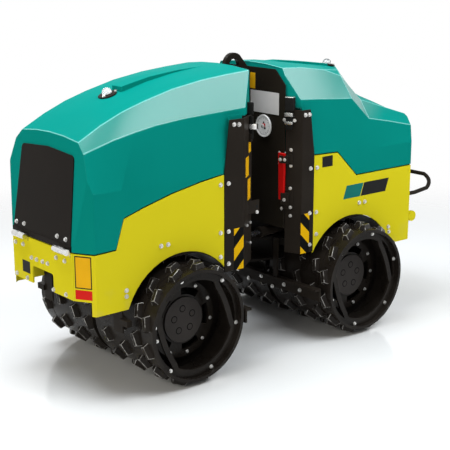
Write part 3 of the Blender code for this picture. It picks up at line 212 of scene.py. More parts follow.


# %% [markdown]
# ## Black powder coat and cast metal
# The frame plates wear a satin powder coat with a fine pebble. The drums are heavier:
# painted castings with a coarse skin, dulled and browned by soil, and rubbed bright where
# an edge meets the ground; this bright edge is partly wear and partly a painted highlight.
# The bevel that breaks an edge can give its faces a finish of their own, so the rubbed
# edges are a second material.

# %% Black coats
def powder_coat(name, colour, rough, grain):
    bench = Bench(name)
    pebble = bench.noise(grain, 2.0, 0.6)
    cloud = bench.ramp(bench.noise(6.0, 4.0), 0.4, 0.7)
    dust = bench.ramp(bench.noise(48.0, 6.0, 0.7), 0.64, 0.8) * 0.05
    tone = bench.mix(cloud * 0.5, colour, tuple(c * 1.35 for c in colour))
    tone = bench.mix(dust, tone, (0.15, 0.13, 0.11))
    bench.set(Base_Color=tone, Roughness=rough + cloud * 0.06 + pebble * 0.05, IOR=1.11)
    return bench.bump(pebble, 0.2, 0.0004).material


def drum_coat(name, rubbed_and_highlight=0.0):
    bench = Bench(name)
    skin = bench.noise(58.0, 6.0, 0.62)
    pits = bench.ramp(bench.noise(260.0, 3.0), 0.56, 0.72)
    cloud = bench.ramp(bench.noise(9.0, 5.0), 0.4, 0.68)
    # Bright steel on the edges: partly wear, partly a painted highlight for the edge glints
    worn_and_highlight = bench.ramp(bench.noise(30.0, 5.0, 0.6), 0.36, 0.6) * rubbed_and_highlight
    tone = bench.mix(cloud, (0.012, 0.0095, 0.0077), (0.018, 0.0146, 0.012))
    tone = bench.mix(pits * 0.15, tone, (0.04, 0.032, 0.025))
    tone = bench.mix(worn_and_highlight, tone, (0.56, 0.54, 0.51))
    bench.set(Base_Color=tone, Roughness=0.26 + cloud * 0.1 + pits * 0.08, Metallic=worn_and_highlight * 0.7,
              IOR=1.16, Coat_Weight=0.06, Coat_Roughness=0.1)
    return bench.bump(skin * 0.8 - pits * 0.3, 0.25, 0.0012).material


BLACK = powder_coat("black_powder_coat", (0.0175, 0.0138, 0.0108), 0.34, 520.0)
PANEL_BLACK = powder_coat("black_panel_coat", (0.0105, 0.0082, 0.0066), 0.3, 700.0)
DRUM_BLACK = drum_coat("drum_coat")
# Finish of the pads' and rims' bevel faces: rubbed steel that is also a painted highlight
DRUM_EDGE_WEAR_AND_HIGHLIGHT = drum_coat("drum_rubbed_edge_and_highlight", 0.62)
HUB_BLACK = powder_coat("hub_coat", (0.042, 0.037, 0.0345), 0.4, 260.0)
CAST = powder_coat("cast_black", (0.01, 0.0082, 0.007), 0.44, 180.0)
WALL_BLACK = powder_coat("bulkhead_coat", (0.0145, 0.0118, 0.0086), 0.14, 700.0)
print("black coats", BLACK.name, DRUM_BLACK.name)


# %% [markdown]
# ## Metals, plastics and rubber
# Fasteners are zinc plated: pale, slightly yellow, and streaked where a spanner turned
# them. The cylinder rod is polished chrome. Rubber is nearly black with a dull sheen.

# %% Bare metals
def bare_metal(name, colour, rough, streak, grain, metal=0.92):
    bench = Bench(name)
    stretched = bench.node("ShaderNodeMapping", None, {"Vector": bench.place, "Scale": streak})
    lines = bench.noise(1.0, 3.0, 0.6, stretched)
    cloud = bench.noise(grain, 4.0)
    tone = bench.mix(bench.ramp(cloud, 0.38, 0.7) * 0.6, colour, tuple(c * 0.72 for c in colour))
    bench.set(Base_Color=tone, Metallic=metal, Roughness=rough + lines * 0.12 + cloud * 0.06)
    return bench.bump(lines, 0.08, 0.0003).material


ZINC = bare_metal("zinc_plate", (0.66, 0.65, 0.63), 0.26, (900.0, 900.0, 120.0), 60.0, 0.8)
STEEL = bare_metal("hinge_steel", (0.74, 0.74, 0.73), 0.14, (700.0, 60.0, 700.0), 40.0, 0.96)
CHROME = bare_metal("rod_chrome", (0.2, 0.2, 0.21), 0.14, (20.0, 900.0, 900.0), 25.0)


# %% Plastics, rubber and coloured coats
def plain_coat(name, colour, rough=0.34, grain=300.0, bump=0.05, coat=0.4):
    """Left as they are, the values after the colour make a sign's printed film."""
    bench = Bench(name)
    cloud = bench.ramp(bench.noise(11.0, 4.0), 0.4, 0.7)
    fine = bench.noise(grain, 3.0, 0.6)
    tone = bench.mix(cloud * 0.35, colour, tuple(c * 0.82 for c in colour))
    bench.set(Base_Color=tone, Roughness=rough + fine * 0.08 + cloud * 0.04, IOR=1.12, Coat_Weight=coat * 0.2,
              Coat_Roughness=0.08)
    return bench.bump(fine, bump, 0.0004).material


RUBBER = plain_coat("latch_rubber", (0.012, 0.0115, 0.011), 0.62, 380.0, 0.3, 0.0)
RED = plain_coat("red_bar_paint", (0.56, 0.007, 0.006), 0.3, 220.0, 0.08)
LABEL_RED = plain_coat("red_sign_film", (0.64, 0.014, 0.01))
LABEL_YELLOW = plain_coat("yellow_sign_film", (0.82, 0.43, 0.008))
LABEL_BLACK = plain_coat("black_sign_film", (0.012, 0.012, 0.012))
LABEL_TEAL = plain_coat("teal_sign_film", (0.006, 0.165, 0.14), 0.32)
# A near-black film that stands for the shade in an uncut recess: painted shade
PAINTED_SHADE_GAP = plain_coat("shadow_gap", (0.0015, 0.0015, 0.0015), 0.8, coat=0.0)
WHITE = plain_coat("white_plate", (0.56, 0.54, 0.52), grain=260.0, coat=0.3)
DIAL_WHITE = plain_coat("dial_plastic", (0.92, 0.91, 0.88), 0.26, 260.0, coat=0.5)
print("metals and coats ready")

# %% Clear dome
bench = Bench("clear_dome")
haze = bench.noise(35.0, 4.0)
bench.set(Base_Color=bench.mix(haze * 0.4, (0.86, 0.9, 0.91), (0.7, 0.76, 0.78)),
          Roughness=0.05 + haze * 0.06, Transmission_Weight=0.85, IOR=1.4)
CLEAR = bench.bump(haze, 0.04, 0.0004).material
print("dome", CLEAR.name)


# %% [markdown]
# ## Hazard stripes
# Black and yellow diagonals mark where the two units can pinch. They are printed film, so
# the pattern belongs to a thin plate: a sawtooth along the diagonal, cut at its middle.

# %% Striped film
def striped_film(name, lean, pitch, start):
    """Stripes that lean forwards or backwards, repeat every pitch and begin at a height."""
    bench = Bench(name)
    x, _, z = bench.axes()
    phase = bench.maths("FRACT", (x * lean + z - (start + lean * PIN_X)) / pitch)
    stripe = bench.ramp(phase, 0.495, 0.505)
    scuff = bench.ramp(bench.noise(60.0, 5.0), 0.6, 0.8) * 0.14
    tone = bench.mix(stripe, (0.006, 0.006, 0.006), (0.76, 0.43, 0.004))
    tone = bench.mix(scuff * 0.3, tone, (0.2, 0.17, 0.12))
    bench.set(Base_Color=tone, Roughness=0.32 + scuff * 0.6, IOR=1.08)
    return bench.bump(bench.noise(320.0, 2.0), 0.06, 0.0003).material


STRIPES_FRONT = striped_film("striped_film_front", 1.0, 0.11, 0.7398)
STRIPES_REAR = striped_film("striped_film_rear", -1.0, 0.111, 0.7362)
print("stripes", STRIPES_FRONT.name)

# %% [markdown]
# ## Tools for modelling
# These helpers do what a modeller does by hand: start from a primitive or a single point,
# extrude it along a line, fill, push it out to a thickness, and break its edges. Every
# piece ends with its place in its mesh, at the origin, so that patterns stay put.

# %% Selecting and finishing
def only(obj):
    """Object mode, with this object alone selected and active."""
    if bpy.context.object and bpy.context.object.mode != "OBJECT":
        bpy.ops.object.mode_set(mode="OBJECT")
    bpy.ops.object.select_all(action="DESELECT")
    obj.select_set(True)
    bpy.context.view_layer.objects.active = obj
    return obj


def settle(obj, name, material):
    """Moves the object's place into its mesh, names it and gives it its finish."""
    only(obj)
    bpy.ops.object.transform_apply(location=True, rotation=True, scale=True)
    obj.name = obj.data.name = name
    obj.data.materials.clear()
    obj.data.materials.append(material)
    return obj


BEND = 28.0  # an edge is sharp above this angle, in degrees
SHORTEST_EDGE = 0.003  # closer points are merged, so that a wide bevel has room


def break_edges(obj, width, segments=2, angle=BEND, trim=None):
    """Rounds every sharp edge a little, as a press brake or a paint film does; trim is its own finish."""
    only(obj)
    bevel = obj.modifiers.new("edge", "BEVEL")
    bevel.width, bevel.segments = width, segments
    if trim:
        obj.data.materials.append(trim)
        bevel.material = len(obj.data.materials) - 1
        bevel.use_clamp_overlap = width < SHORTEST_EDGE
    bevel.limit_method, bevel.angle_limit = "ANGLE", math.radians(angle)
    bevel.miter_outer = "MITER_ARC"
    bpy.ops.object.modifier_apply(modifier=bevel.name)
    bpy.ops.object.shade_smooth_by_angle(angle=math.radians(angle))
    flat = obj.modifiers.new("flat", "WEIGHTED_NORMAL")
    flat.keep_sharp, flat.weight = True, 50
    bpy.ops.object.modifier_apply(modifier=flat.name)
    return obj


def outward():
    """In edit mode: closes doubles and points all faces outwards."""
    bpy.ops.mesh.select_all(action="SELECT")
    bpy.ops.mesh.remove_doubles(threshold=0.00002)
    bpy.ops.mesh.normals_make_consistent(inside=False)


def seat(obj, body):
    """Moves a finished piece from the pin's measure to the frame and puts it on its body."""
    obj.data.transform(Matrix.Translation((PIN_X, 0.0, 0.0)))
    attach(obj, body)
    return obj


print("finishing tools ready")


# %% Lines, plates, turned pieces and boxes
def primitive(kind, **settings):
    """A new mesh primitive, alone selected."""
    bpy.ops.object.select_all(action="DESELECT")
    getattr(bpy.ops.mesh, "primitive_" + kind + "_add")(**settings)
    return bpy.context.object


def start_line(points):
    """A single point, extruded from place to place; leaves the object in edit mode."""
    obj = primitive("plane", size=0.01, location=points[0])
    bpy.ops.object.mode_set(mode="EDIT")
    bpy.ops.mesh.select_all(action="SELECT")
    bpy.ops.mesh.merge(type="CENTER")
    for a, b in zip(points, points[1:]):
        step = tuple(q - p for p, q in zip(a, b))
        bpy.ops.mesh.extrude_region_move(TRANSFORM_OT_translate={"value": step})
    return obj


def plate(name, points, push, material):
    """A flat outline of points in space, filled and pushed out to its thickness."""
    obj = start_line(points)
    bpy.ops.mesh.select_all(action="SELECT")
    bpy.ops.mesh.edge_face_add()
    bpy.ops.mesh.extrude_region_move(TRANSFORM_OT_translate={"value": push})
    outward()
    bpy.ops.object.mode_set(mode="OBJECT")
    return settle(obj, name, material)


def turned(name, profile, centre, axis, steps, material, edge=0.0):
    """A closed profile of (radius, along) spun about an axis."""
    centre = Vector(centre)
    arm = Vector((0, 1, 0) if axis == "x" else (1, 0, 0))
    line = Vector([float(letter == axis) for letter in "xyz"])
    points = [tuple(centre + arm * r + line * a) for r, a in profile]
    obj = start_line(points + points[:1])
    bpy.ops.mesh.select_all(action="SELECT")
    bpy.ops.mesh.spin(steps=steps, angle=math.tau, center=centre, axis=line)
    outward()
    bpy.ops.object.mode_set(mode="OBJECT")
    settle(obj, name, material)
    if edge:
        break_edges(obj, edge)
    else:
        bpy.ops.object.shade_smooth_by_angle(angle=math.radians(BEND))
    return obj


def disc(radius, low, high):
    """The profile of a plain disc, for turned."""
    return [(0.0, low), (radius, low), (radius, high), (0.0, high)]


def box_piece(name, low, high, material, edge=0.0015, segments=2):
    obj = primitive("cube", size=1.0, location=[(a + b) / 2 for a, b in zip(low, high)])
    obj.scale = [b - a for a, b in zip(low, high)]
    settle(obj, name, material)
    return break_edges(obj, edge, segments) if edge else obj


def merged(objects, name):
    """Joins like pieces on one body into a single object."""
    only(objects[0])
    for obj in objects:
        obj.select_set(True)
    bpy.ops.object.join()
    objects[0].name = objects[0].data.name = name
    return objects[0]


def copy_of(obj, matrix):
    """A copy with its own mesh, moved by a matrix."""
    twin = obj.copy()
    twin.data = obj.data.copy()
    twin.data.transform(matrix)
    bpy.context.scene.collection.objects.link(twin)
    return twin


print("modelling tools ready")


# %% [markdown]
# ## Plates and hoods from the frame
# The frame's sheet metal already has the right shape, but its edges are razor sharp, and
# a sharp edge never catches the light. A copy of each solid is welded, its flat faces are
# dissolved into whole ones, and a small bevel breaks every edge. The copy then stands for
# the solid.

# %% A dressed copy of a solid
def dressed(node, material, edge, segments=2, angle=BEND, trim=None):
    source = nodes[node]
    obj = bpy.data.objects.new(node + "_skin", source.data.copy())
    bpy.context.scene.collection.objects.link(obj)
    only(obj)
    bpy.ops.object.mode_set(mode="EDIT")
    bpy.ops.mesh.select_all(action="SELECT")
    bpy.ops.mesh.remove_doubles(threshold=0.00005)
    bpy.ops.mesh.select_all(action="SELECT")
    bpy.ops.mesh.dissolve_limited(angle_limit=math.radians(1.0))
    if trim:
        bpy.ops.mesh.remove_doubles(threshold=SHORTEST_EDGE)
    bpy.ops.object.mode_set(mode="OBJECT")
    if obj.data.has_custom_normals:
        bpy.ops.mesh.customdata_custom_splitnormals_clear()
    settle(obj, node + "_skin", material)
    if edge:
        break_edges(obj, edge, segments, angle, trim)
    else:
        bpy.ops.object.shade_smooth_by_angle(angle=math.radians(angle))
    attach(obj, body_of[node])
    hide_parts(node)
    return obj


SKINS = (
    # nodes, finish, width of the rounded edge, bevel steps
    ("front_hood rear_hood", TEAL, 0.0034, 3),
    ("front_side_left front_side_right rear_side_left rear_side_right", YELLOW, 0.0022, 2),
    ("front_end_plate rear_end_plate", YELLOW, 0.0018, 2),
    ("front_pillar_left front_pillar_right rear_pillar_left rear_pillar_right", BLACK, 0.0022, 2),
    ("front_bulkhead rear_bulkhead", WALL_BLACK, 0.0018, 2),
    ("front_deck rear_deck", BLACK, 0.0018, 2),
    ("front_scraper_inner front_scraper_outer rear_scraper_inner rear_scraper_outer", BLACK, 0.0015, 2),
    ("front_hood_panel", PANEL_BLACK, 0.0012, 2),
    ("rear_hinge_plate", TEAL, 0.001, 2),
    ("front_cross_beam rear_cross_beam centre_link front_axle_carrier rear_axle_carrier", CAST, 0.002, 2),
    ("steering_barrel cylinder_bracket front_sensor_base rear_sensor_base", BLACK, 0.001, 2),
    ("steering_pin", ZINC, 0.0008, 2),
    ("steering_rod", CHROME, 0.0006, 2),
    ("lock_bar", RED, 0.002, 3),
)
for names, finish, radius, steps in SKINS:
    for node in names.split():
        shell = node in ("front_hood", "rear_hood")
        # A hood has blunt creases, so its edges count as sharp sooner
        # The hoods' bevel faces take the paler teal, a painted highlight along the creases
        dressed(node, finish, radius, steps, 13.0 if "hood" in node else BEND, TEAL_PAINTED_HIGHLIGHT if shell else None)
print("dressed", sum(len(row[0].split()) for row in SKINS), "solids")

# %% Round solids, smoothed without a bevel
for node, finish in (("front_sensor_dome", CLEAR), ("rear_sensor_dome", CLEAR), ("rear_guard", BLACK)):
    dressed(node, finish, 0.0, 2, 50.0)
DIAL_BACK, DIAL_DEPTH = PIN_X - 0.1327, 0.38  # its mounting face, and the share of its depth that is kept
for vert in dressed("rear_dial", DIAL_WHITE, 0.0012, 3, 40.0).data.vertices:
    vert.co.x = DIAL_BACK + (vert.co.x - DIAL_BACK) * DIAL_DEPTH
nodes["engine"].data.materials.clear()
nodes["engine"].data.materials.append(CAST)

# %% The front pillars' slanted ends, a little wider than the frame's
SIDES = ((1, "left"), (-1, "right"))
SLANT_END_X, SLANT_SHIFT = 0.0665, 0.023
for side, hand in SIDES:
    for vert in bpy.data.objects["front_pillar_" + hand + "_skin"].data.vertices:
        if vert.co.x - PIN_X < SLANT_END_X:
            vert.co.y += side * SLANT_SHIFT
print("round solids and pillar ends done")

# %% [markdown]
# ## Padfoot drums
# Each drum half is a rolled shell with welded wedges, a deep web that bolts to the motor's
# flange, and a bolted-on extension ring whose stiffening plate shows as a flat rim. The
# shell is spun, so that it is truly round. One pad is modelled from a cube and copied
# round it, row by row, at the same angles as the frame's.

# %% Sizes of a drum
AXLE_X, AXLE_Z = 0.496, 0.26
TIP_RADIUS, SHELL_RADIUS, INNER_RADIUS = 0.26, 0.238, 0.224
PADS_IN_ROW = 13
PAD_SLANT = math.radians(20.0)
PAD_ROWS = {1: ((0.1, -16.4), (0.213, -24.6), (0.318, -33.9), (0.385, -43.2)),
            -1: ((0.046, -14.0), (0.14, -6.9), (0.25, 1.5), (0.374, -12.0))}
PAD_FOOT, PAD_TOP_LENGTH, PAD_TOP_SHARE = (0.07, 0.036, 0.026), 0.054, 0.5
WEB_FACE, RIM_OUTER, RIM_INNER = 0.31, 0.404, 0.394
OPENING_RADIUS, BAR_INNER = 0.19, 0.15
SLOT_RADIUS, BAR_OUTER, BAR_BOW = 0.206, 0.173, 0.012
CRESCENT_ANGLE = math.radians(157.5)
KIDNEY_OUTER, KIDNEY_INNER, KIDNEY_SPAN = 0.137, 0.107, math.radians(42.0)
SCREW_GAP, SCREW_HEAD = 0.0154, 0.0118
RIM_BOLT_CIRCLE, FLANGE_BOLT_CIRCLE, HUB_SCREW_CIRCLE = 0.2145, 0.149, 0.0495
# Radius and distance from the machine's middle, round the section of a drum half
SECTION = ((SHELL_RADIUS, 0.014), (SHELL_RADIUS, 0.3435), (SHELL_RADIUS - 0.003, 0.3445),
           (SHELL_RADIUS - 0.003, 0.3475), (SHELL_RADIUS, 0.3485), (SHELL_RADIUS, 0.425),
           (INNER_RADIUS, 0.425), (INNER_RADIUS, 0.274), (0.165, 0.274), (0.165, WEB_FACE),
           (0.0985, WEB_FACE), (0.0985, 0.298), (0.153, 0.298), (0.153, 0.262),
           (INNER_RADIUS, 0.262), (INNER_RADIUS, 0.014))
# Side of the pin, name, and where the hub screws, flange bolts and rim bolts start, in degrees
UNITS = ((1, "front", 12.5, 9.5, 9.4), (-1, "rear", 22.7, 4.0, 103.8))


def drum_centre(unit):
    return Vector((unit * AXLE_X, 0.0, AXLE_Z))


def evenly(first, count):
    """Angles spaced evenly round a circle, from a first one in degrees."""
    return [math.radians(first) + math.tau * k / count for k in range(count)]


def circle_points(centre, radius, y, angles):
    return [(centre.x + radius * math.cos(a), y, centre.z + radius * math.sin(a)) for a in angles]


print("pads in all", PADS_IN_ROW * sum(len(rows) for rows in PAD_ROWS.values()) * 2)


# %% One pad, from a cube
def make_pad():
    """A wedge with its foot in the shell; +Z is outwards, X runs round the drum."""
    pad = primitive("cube", size=1.0, location=(0.0, 0.0, 0.009))
    pad.scale = PAD_FOOT
    settle(pad, "pad", DRUM_BLACK)
    for vert in pad.data.vertices:
        if vert.co.z > 0.0:
            vert.co.x *= PAD_TOP_LENGTH / PAD_FOOT[0]
            vert.co.y *= PAD_TOP_SHARE
            vert.co.z = TIP_RADIUS - SHELL_RADIUS
    pad.data.update()
    # The pad's bevel faces take the rubbed finish, which is partly a painted highlight
    return break_edges(pad, 0.0019, 2, trim=DRUM_EDGE_WEAR_AND_HIGHLIGHT)


pad_model = make_pad()
print("pad faces", len(pad_model.data.polygons))


# %% Rows of pads round a shell
def rows_of_pads(unit, side, name):
    pads = []
    foot = SHELL_RADIUS - 0.0022
    turn = Matrix.Rotation(PAD_SLANT, 4, "Z")
    for y, first in PAD_ROWS[side]:
        for angle in evenly(first, PADS_IN_ROW):
            out = Vector((math.cos(angle), 0.0, math.sin(angle)))
            along = Vector((-math.sin(angle), 0.0, math.cos(angle)))
            upright = Matrix((along, out.cross(along), out)).transposed().to_4x4()
            place = Matrix.Translation(drum_centre(unit) + out * foot + Vector((0.0, side * y, 0.0)))
            pads.append(copy_of(pad_model, place @ upright @ turn))
    return merged(pads, name)


print("rows per half", len(PAD_ROWS[1]))


# %% The shell, its web and its rim
def spread(start, end, steps):
    return [start + (end - start) * k / steps for k in range(steps + 1)]


def drum_shell(unit, side, name):
    return turned(name, [(radius, side * y) for radius, y in SECTION], drum_centre(unit), "y", 104, DRUM_BLACK)


def pierce(obj, cutter):
    only(obj)
    step = obj.modifiers.new("hole", "BOOLEAN")
    step.operation, step.object, step.solver = "DIFFERENCE", cutter, "EXACT"
    bpy.ops.object.modifier_apply(modifier=step.name)
    bpy.data.objects.remove(cutter)
    return obj


def bowed_side(centre, radius, flat, sag, y, middle, shares):
    """Points along a rim bar's side, which crosses a circle at a distance from its centre and bows out."""
    half = math.sin(math.acos(flat / radius)) * radius
    points = []
    for t in shares[1:-1]:
        lift = flat + BAR_BOW * (1.0 - t * t) - BAR_BOW * sag
        across = half * t
        points += circle_points(centre, math.hypot(across, lift), y, [middle + math.atan2(across, lift)])
    return points


def rim_plate(unit, side, name):
    """The extension ring's flat plate with its round opening and two crescent slots."""
    centre, y, push = drum_centre(unit), side * 0.38, (0.0, side * 0.05, 0.0)
    edge, outer, inner = INNER_RADIUS - 0.0003, side * RIM_OUTER, side * RIM_INNER
    rim = turned(name, disc(edge, outer, inner), centre, "y", 96, DRUM_BLACK)
    middles = [CRESCENT_ANGLE + way for way in (0.0, math.pi)]
    reach = math.acos(BAR_INNER / OPENING_RADIUS)
    opening = []
    for a in middles:
        opening += circle_points(centre, OPENING_RADIUS, y, spread(a + reach, a + math.pi - reach, 22))
        opening += bowed_side(centre, OPENING_RADIUS, BAR_INNER, 0.5, y, a + math.pi, spread(-1.0, 1.0, 10))
    pierce(rim, plate("opening", opening, push, DRUM_BLACK))
    reach = math.acos(BAR_OUTER / SLOT_RADIUS)
    for a in middles:
        slot = circle_points(centre, SLOT_RADIUS, y, spread(a - reach, a + reach, 14))
        slot += bowed_side(centre, SLOT_RADIUS, BAR_OUTER, 0.4, y, a, spread(1.0, -1.0, 8))
        pierce(rim, plate("slot", slot, push, DRUM_BLACK))
    # The rim's bevel faces take the rubbed finish, which is partly a painted highlight
    return break_edges(rim, 0.0012, 2, 40.0, DRUM_EDGE_WEAR_AND_HIGHLIGHT)


print("drum parts ready")


# %% Kidney openings in the flange
def cut_kidneys(shell, unit, side):
    centre, y, half = drum_centre(unit), side * 0.285, KIDNEY_SPAN / 2
    for k in range(5):
        middle = math.tau * (k + 0.5) / 5
        ring = circle_points(centre, KIDNEY_OUTER, y, spread(middle - half, middle + half, 10))
        ring += circle_points(centre, KIDNEY_INNER, y, spread(middle + half, middle - half, 8))
        pierce(shell, plate("kidney", ring, (0.0, side * 0.04, 0.0), DRUM_BLACK))
    return break_edges(shell, 0.0012, 2, 35.0)


# %% A bolt: washer and hexagon
def make_bolt(name, radius, material):
    """A hexagon bolt head on its washer; +Z is outwards, the foot lies at z = 0."""
    washer = primitive("cylinder", vertices=20, radius=radius * 1.28, depth=radius * 0.22,
                       location=(0.0, 0.0, radius * 0.11))
    head = primitive("cylinder", vertices=6, radius=radius, depth=radius * 0.75,
                     location=(0.0, 0.0, radius * 0.22 + radius * 0.375))
    break_edges(head, radius * 0.1, 2)
    return settle(merged([washer, head], name), name, material)


bolt_m10, bolt_m8, bolt_m6, drum_bolt = (make_bolt(name, radius, ZINC) for name, radius in (
    ("bolt_m10", 0.0076), ("bolt_m8", 0.0062), ("bolt_m6", 0.0052), ("drum_bolt", 0.007)))
print("bolt faces", len(bolt_m10.data.polygons))


# %% Putting bolts on a face
def facing(normal, twist=0.0):
    """Turns +Z to the normal."""
    return Vector(normal).to_track_quat("Z", "Y").to_matrix().to_4x4() @ Matrix.Rotation(twist, 4, "Z")


BOLT_TWIST = 0.37  # each bolt of a row is turned this much further, as spanners leave them


def bolts(model, name, spots, normal, body, twist=BOLT_TWIST):
    """Copies of a bolt at places on one face, joined into one piece."""
    made = [copy_of(model, Matrix.Translation(spot) @ facing(normal, twist * i)) for i, spot in enumerate(spots)]
    return seat(merged(made, name), body)


# %% Assemble the four drum halves
for unit, label, hub_phase, flange_phase, ring_phase in UNITS:
    centre = drum_centre(unit)
    body, hub_face = label + "_drum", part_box(label + "_axle")[1][1]
    for side, hand in SIDES:
        node = label + "_drum_" + hand
        shell = cut_kidneys(drum_shell(unit, side, node + "_shell"), unit, side)
        pads = rows_of_pads(unit, side, node + "_pads")
        rim = rim_plate(unit, side, node + "_rim")
        skin = seat(merged([shell, pads, rim], node + "_skin"), body)
        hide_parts(node)
        spots = circle_points(centre, RIM_BOLT_CIRCLE, side * RIM_OUTER, evenly(ring_phase, 6))
        bolts(drum_bolt, node + "_rim_bolts", spots, (0, side, 0), body, 0.2)
        spots = circle_points(centre, FLANGE_BOLT_CIRCLE, side * WEB_FACE, evenly(flange_phase, 10))
        bolts(bolt_m8, node + "_flange_bolts", spots, (0, side, 0), body, 0.2)
        made = []
        # Each hub screw is a disc with a near-black ring round it: painted shade for a recess that is not cut
        for spot in circle_points(centre, HUB_SCREW_CIRCLE, side * hub_face, evenly(hub_phase, 5)):
            made.append(turned("gap", disc(SCREW_GAP, side * -0.001, side * 0.0003), spot, "y", 28, PAINTED_SHADE_GAP))
            made.append(turned("screw", disc(SCREW_HEAD, 0.0, side * 0.0009), spot, "y", 28, HUB_BLACK))
        seat(merged(made, node + "_hub_screws"), body)
    dressed(label + "_axle", HUB_BLACK, 0.0012, 2, 40.0)
print("drums assembled")

# %% [markdown]
# ## Bolts on the sheet metal
# The bolts are what gives the size away: every plate is held by the same zinc-plated heads.
# Each spot below is only a rough line of sight. A ray from outside finds the solid's own
# face, so that no bolt floats above it or sinks into it.

# %% Bolts that land on a face
def surface(node):
    mesh = nodes[node].data
    return BVHTree.FromPolygons([v.co.copy() for v in mesh.vertices], [tuple(p.vertices) for p in mesh.polygons])


def bolts_on(model, name, node, spots, out):
    """Sends each spot along -out to the node's face and sets a bolt there, or none if it misses."""
    tree, out, made = surface(node), Vector(out), []
    for i, spot in enumerate(spots):
        start = Vector(spot) + Vector((PIN_X, 0.0, 0.0)) + out * 0.12
        place, normal = tree.ray_cast(start, -out, 0.3)[:2]
        if place is None:
            print("no face under", name, i)
            continue
        place.x -= PIN_X
        made.append(copy_of(model, Matrix.Translation(place) @ facing(normal, BOLT_TWIST * i)))
    return seat(merged(made, name), body_of[node])


# Rough x and z on a side face
SIDE_BOLTS = {
    "front_side": ((0.2931, 0.8032), (0.2937, 0.5975), (0.294, 0.4929), (0.6041, 0.5963), (0.5689, 0.5964),
                   (0.7767, 0.4447), (0.7774, 0.42)),
    "front_pillar": ((0.2224, 1.0493), (0.1952, 1.0464), (0.2522, 0.8044), (0.2524, 0.5976), (0.2525, 0.4562)),
    "rear_pillar": ((-0.1871, 1.0488), (-0.2114, 1.0487), (-0.2236, 0.8063), (-0.2225, 0.603), (-0.2262, 0.4558)),
    "rear_side": ((-0.267, 0.8047), (-0.2663, 0.6002), (-0.2691, 0.497), (-0.5475, 0.6018), (-0.5849, 0.601),
                  (-0.7568, 0.4512), (-0.7618, 0.4254)),
}
for part, places in SIDE_BOLTS.items():
    for side, hand in SIDES:
        spots = [(x, side * 0.32, z) for x, z in places]
        bolts_on(bolt_m10, part + "_bolts_" + hand, part + "_" + hand, spots, (0, side, 0))
END_BOLTS = (
    # piece, node, the x of the spots, the way the face looks, then rough y and z
    ("front_plate_bolts", "front_end_plate", 0.97, 1, (-0.2087, 0.5701), (-0.1463, 0.5724), (0.1129, 0.5715),
     (0.1761, 0.5711), (-0.0812, 0.5287), (-0.0412, 0.5291), (0.0063, 0.5312), (0.0451, 0.5315), (-0.2094, 0.4349),
     (-0.1223, 0.4334), (0.0832, 0.4317), (0.1774, 0.4341)),
    ("rear_plate_bolts", "rear_end_plate", -0.97, -1, (-0.19, 0.455), (-0.19, 0.53), (-0.06, 0.455),
     (0.19, 0.455), (0.19, 0.53), (0.06, 0.455)),
    ("panel_bolts", "front_hood_panel", 0.97, 1, (-0.1957, 0.6604), (-0.1342, 0.6617), (0.1231, 0.661),
     (0.186, 0.6598)),
    ("rear_scraper_bolts", "rear_scraper_inner", -0.2, 1, (0.007, 0.238), (0.085, 0.205), (0.165, 0.232),
     (0.272, 0.231), (-0.085, 0.205), (-0.165, 0.232)),
)
for name, node, x, way, *places in END_BOLTS:
    bolts_on(bolt_m10, name, node, [(x, y, z) for y, z in places], (way, 0, 0))
SENSOR_X, SENSOR_BOLT_CIRCLE = 0.63, 0.0325
for unit, label in ((1, "front"), (-1, "rear")):
    spots = [(unit * SENSOR_X + SENSOR_BOLT_CIRCLE * math.cos(a), SENSOR_BOLT_CIRCLE * math.sin(a), 1.2)
             for a in (0.5, 0.5 + math.tau / 3, 0.5 - math.tau / 3)]
    bolts_on(bolt_m6, label + "_sensor_bolts", label + "_sensor_base", spots, (0, 0, 1))
print("body bolts set")

# %% [markdown]
# ## Slanted faces and thin films
# Labels, brackets and latches sit on upright faces that stand at an angle. Measuring along
# such a face, up it and out of it keeps the numbers readable; one matrix then turns the
# finished piece into place. All labels are blank: the part carries no words and no maker.

# %% A slanted upright face
class Face:
    """Measures run along it from its start, up it and out of it."""

    def __init__(self, start, end):
        way, up = Vector((end[0] - start[0], end[1] - start[1], 0.0)).normalized(), Vector((0.0, 0.0, 1.0))
        turn = Matrix((way, up, way.cross(up))).transposed().to_4x4()
        self.matrix = Matrix.Translation((*start, 0.0)) @ turn

    def slab(self, name, low, high, material, edge=0.0, segments=2):
        obj = box_piece(name, low, high, material, edge, segments)
        obj.data.transform(self.matrix)
        return obj

    def bolt(self, model, along, up, out=0.0, twist=0.3):
        spin = Matrix.Rotation(twist, 4, "Z")
        return copy_of(model, self.matrix @ Matrix.Translation((along, up, out)) @ spin)


CORNER = Face((0.968, 0.232), (0.918, 0.315))
FRONT_POST = Face((0.165, 0.318), (0.053, 0.236))
REAR_POST = Face((-0.139, 0.243), (-0.172, 0.318))
FRONT_WALL_FACE = Face((0.968, -0.4), (0.968, 0.4))
INNER_WALL = Face((-0.133, -0.4), (-0.133, 0.4))
LEFT_SIDE = Face((1.0, 0.315), (-1.0, 0.315))
print("corner face starts at", [round(c, 3) for c in CORNER.matrix.translation])


# %% Blank signs
def sign(name, face, body, left, bottom, right, top, field, border=0.0, proud=0.0004):
    """A film with a dark border, blank inside."""
    made = [face.slab(name, (left, bottom, -0.001), (right, top, proud), LABEL_BLACK if border else field)]
    if border:
        made.append(face.slab(name + "_field", (left + border, bottom + border, 0.0),
                              (right - border, top - border, proud + 0.0003), field))
    return seat(merged(made, name), body)


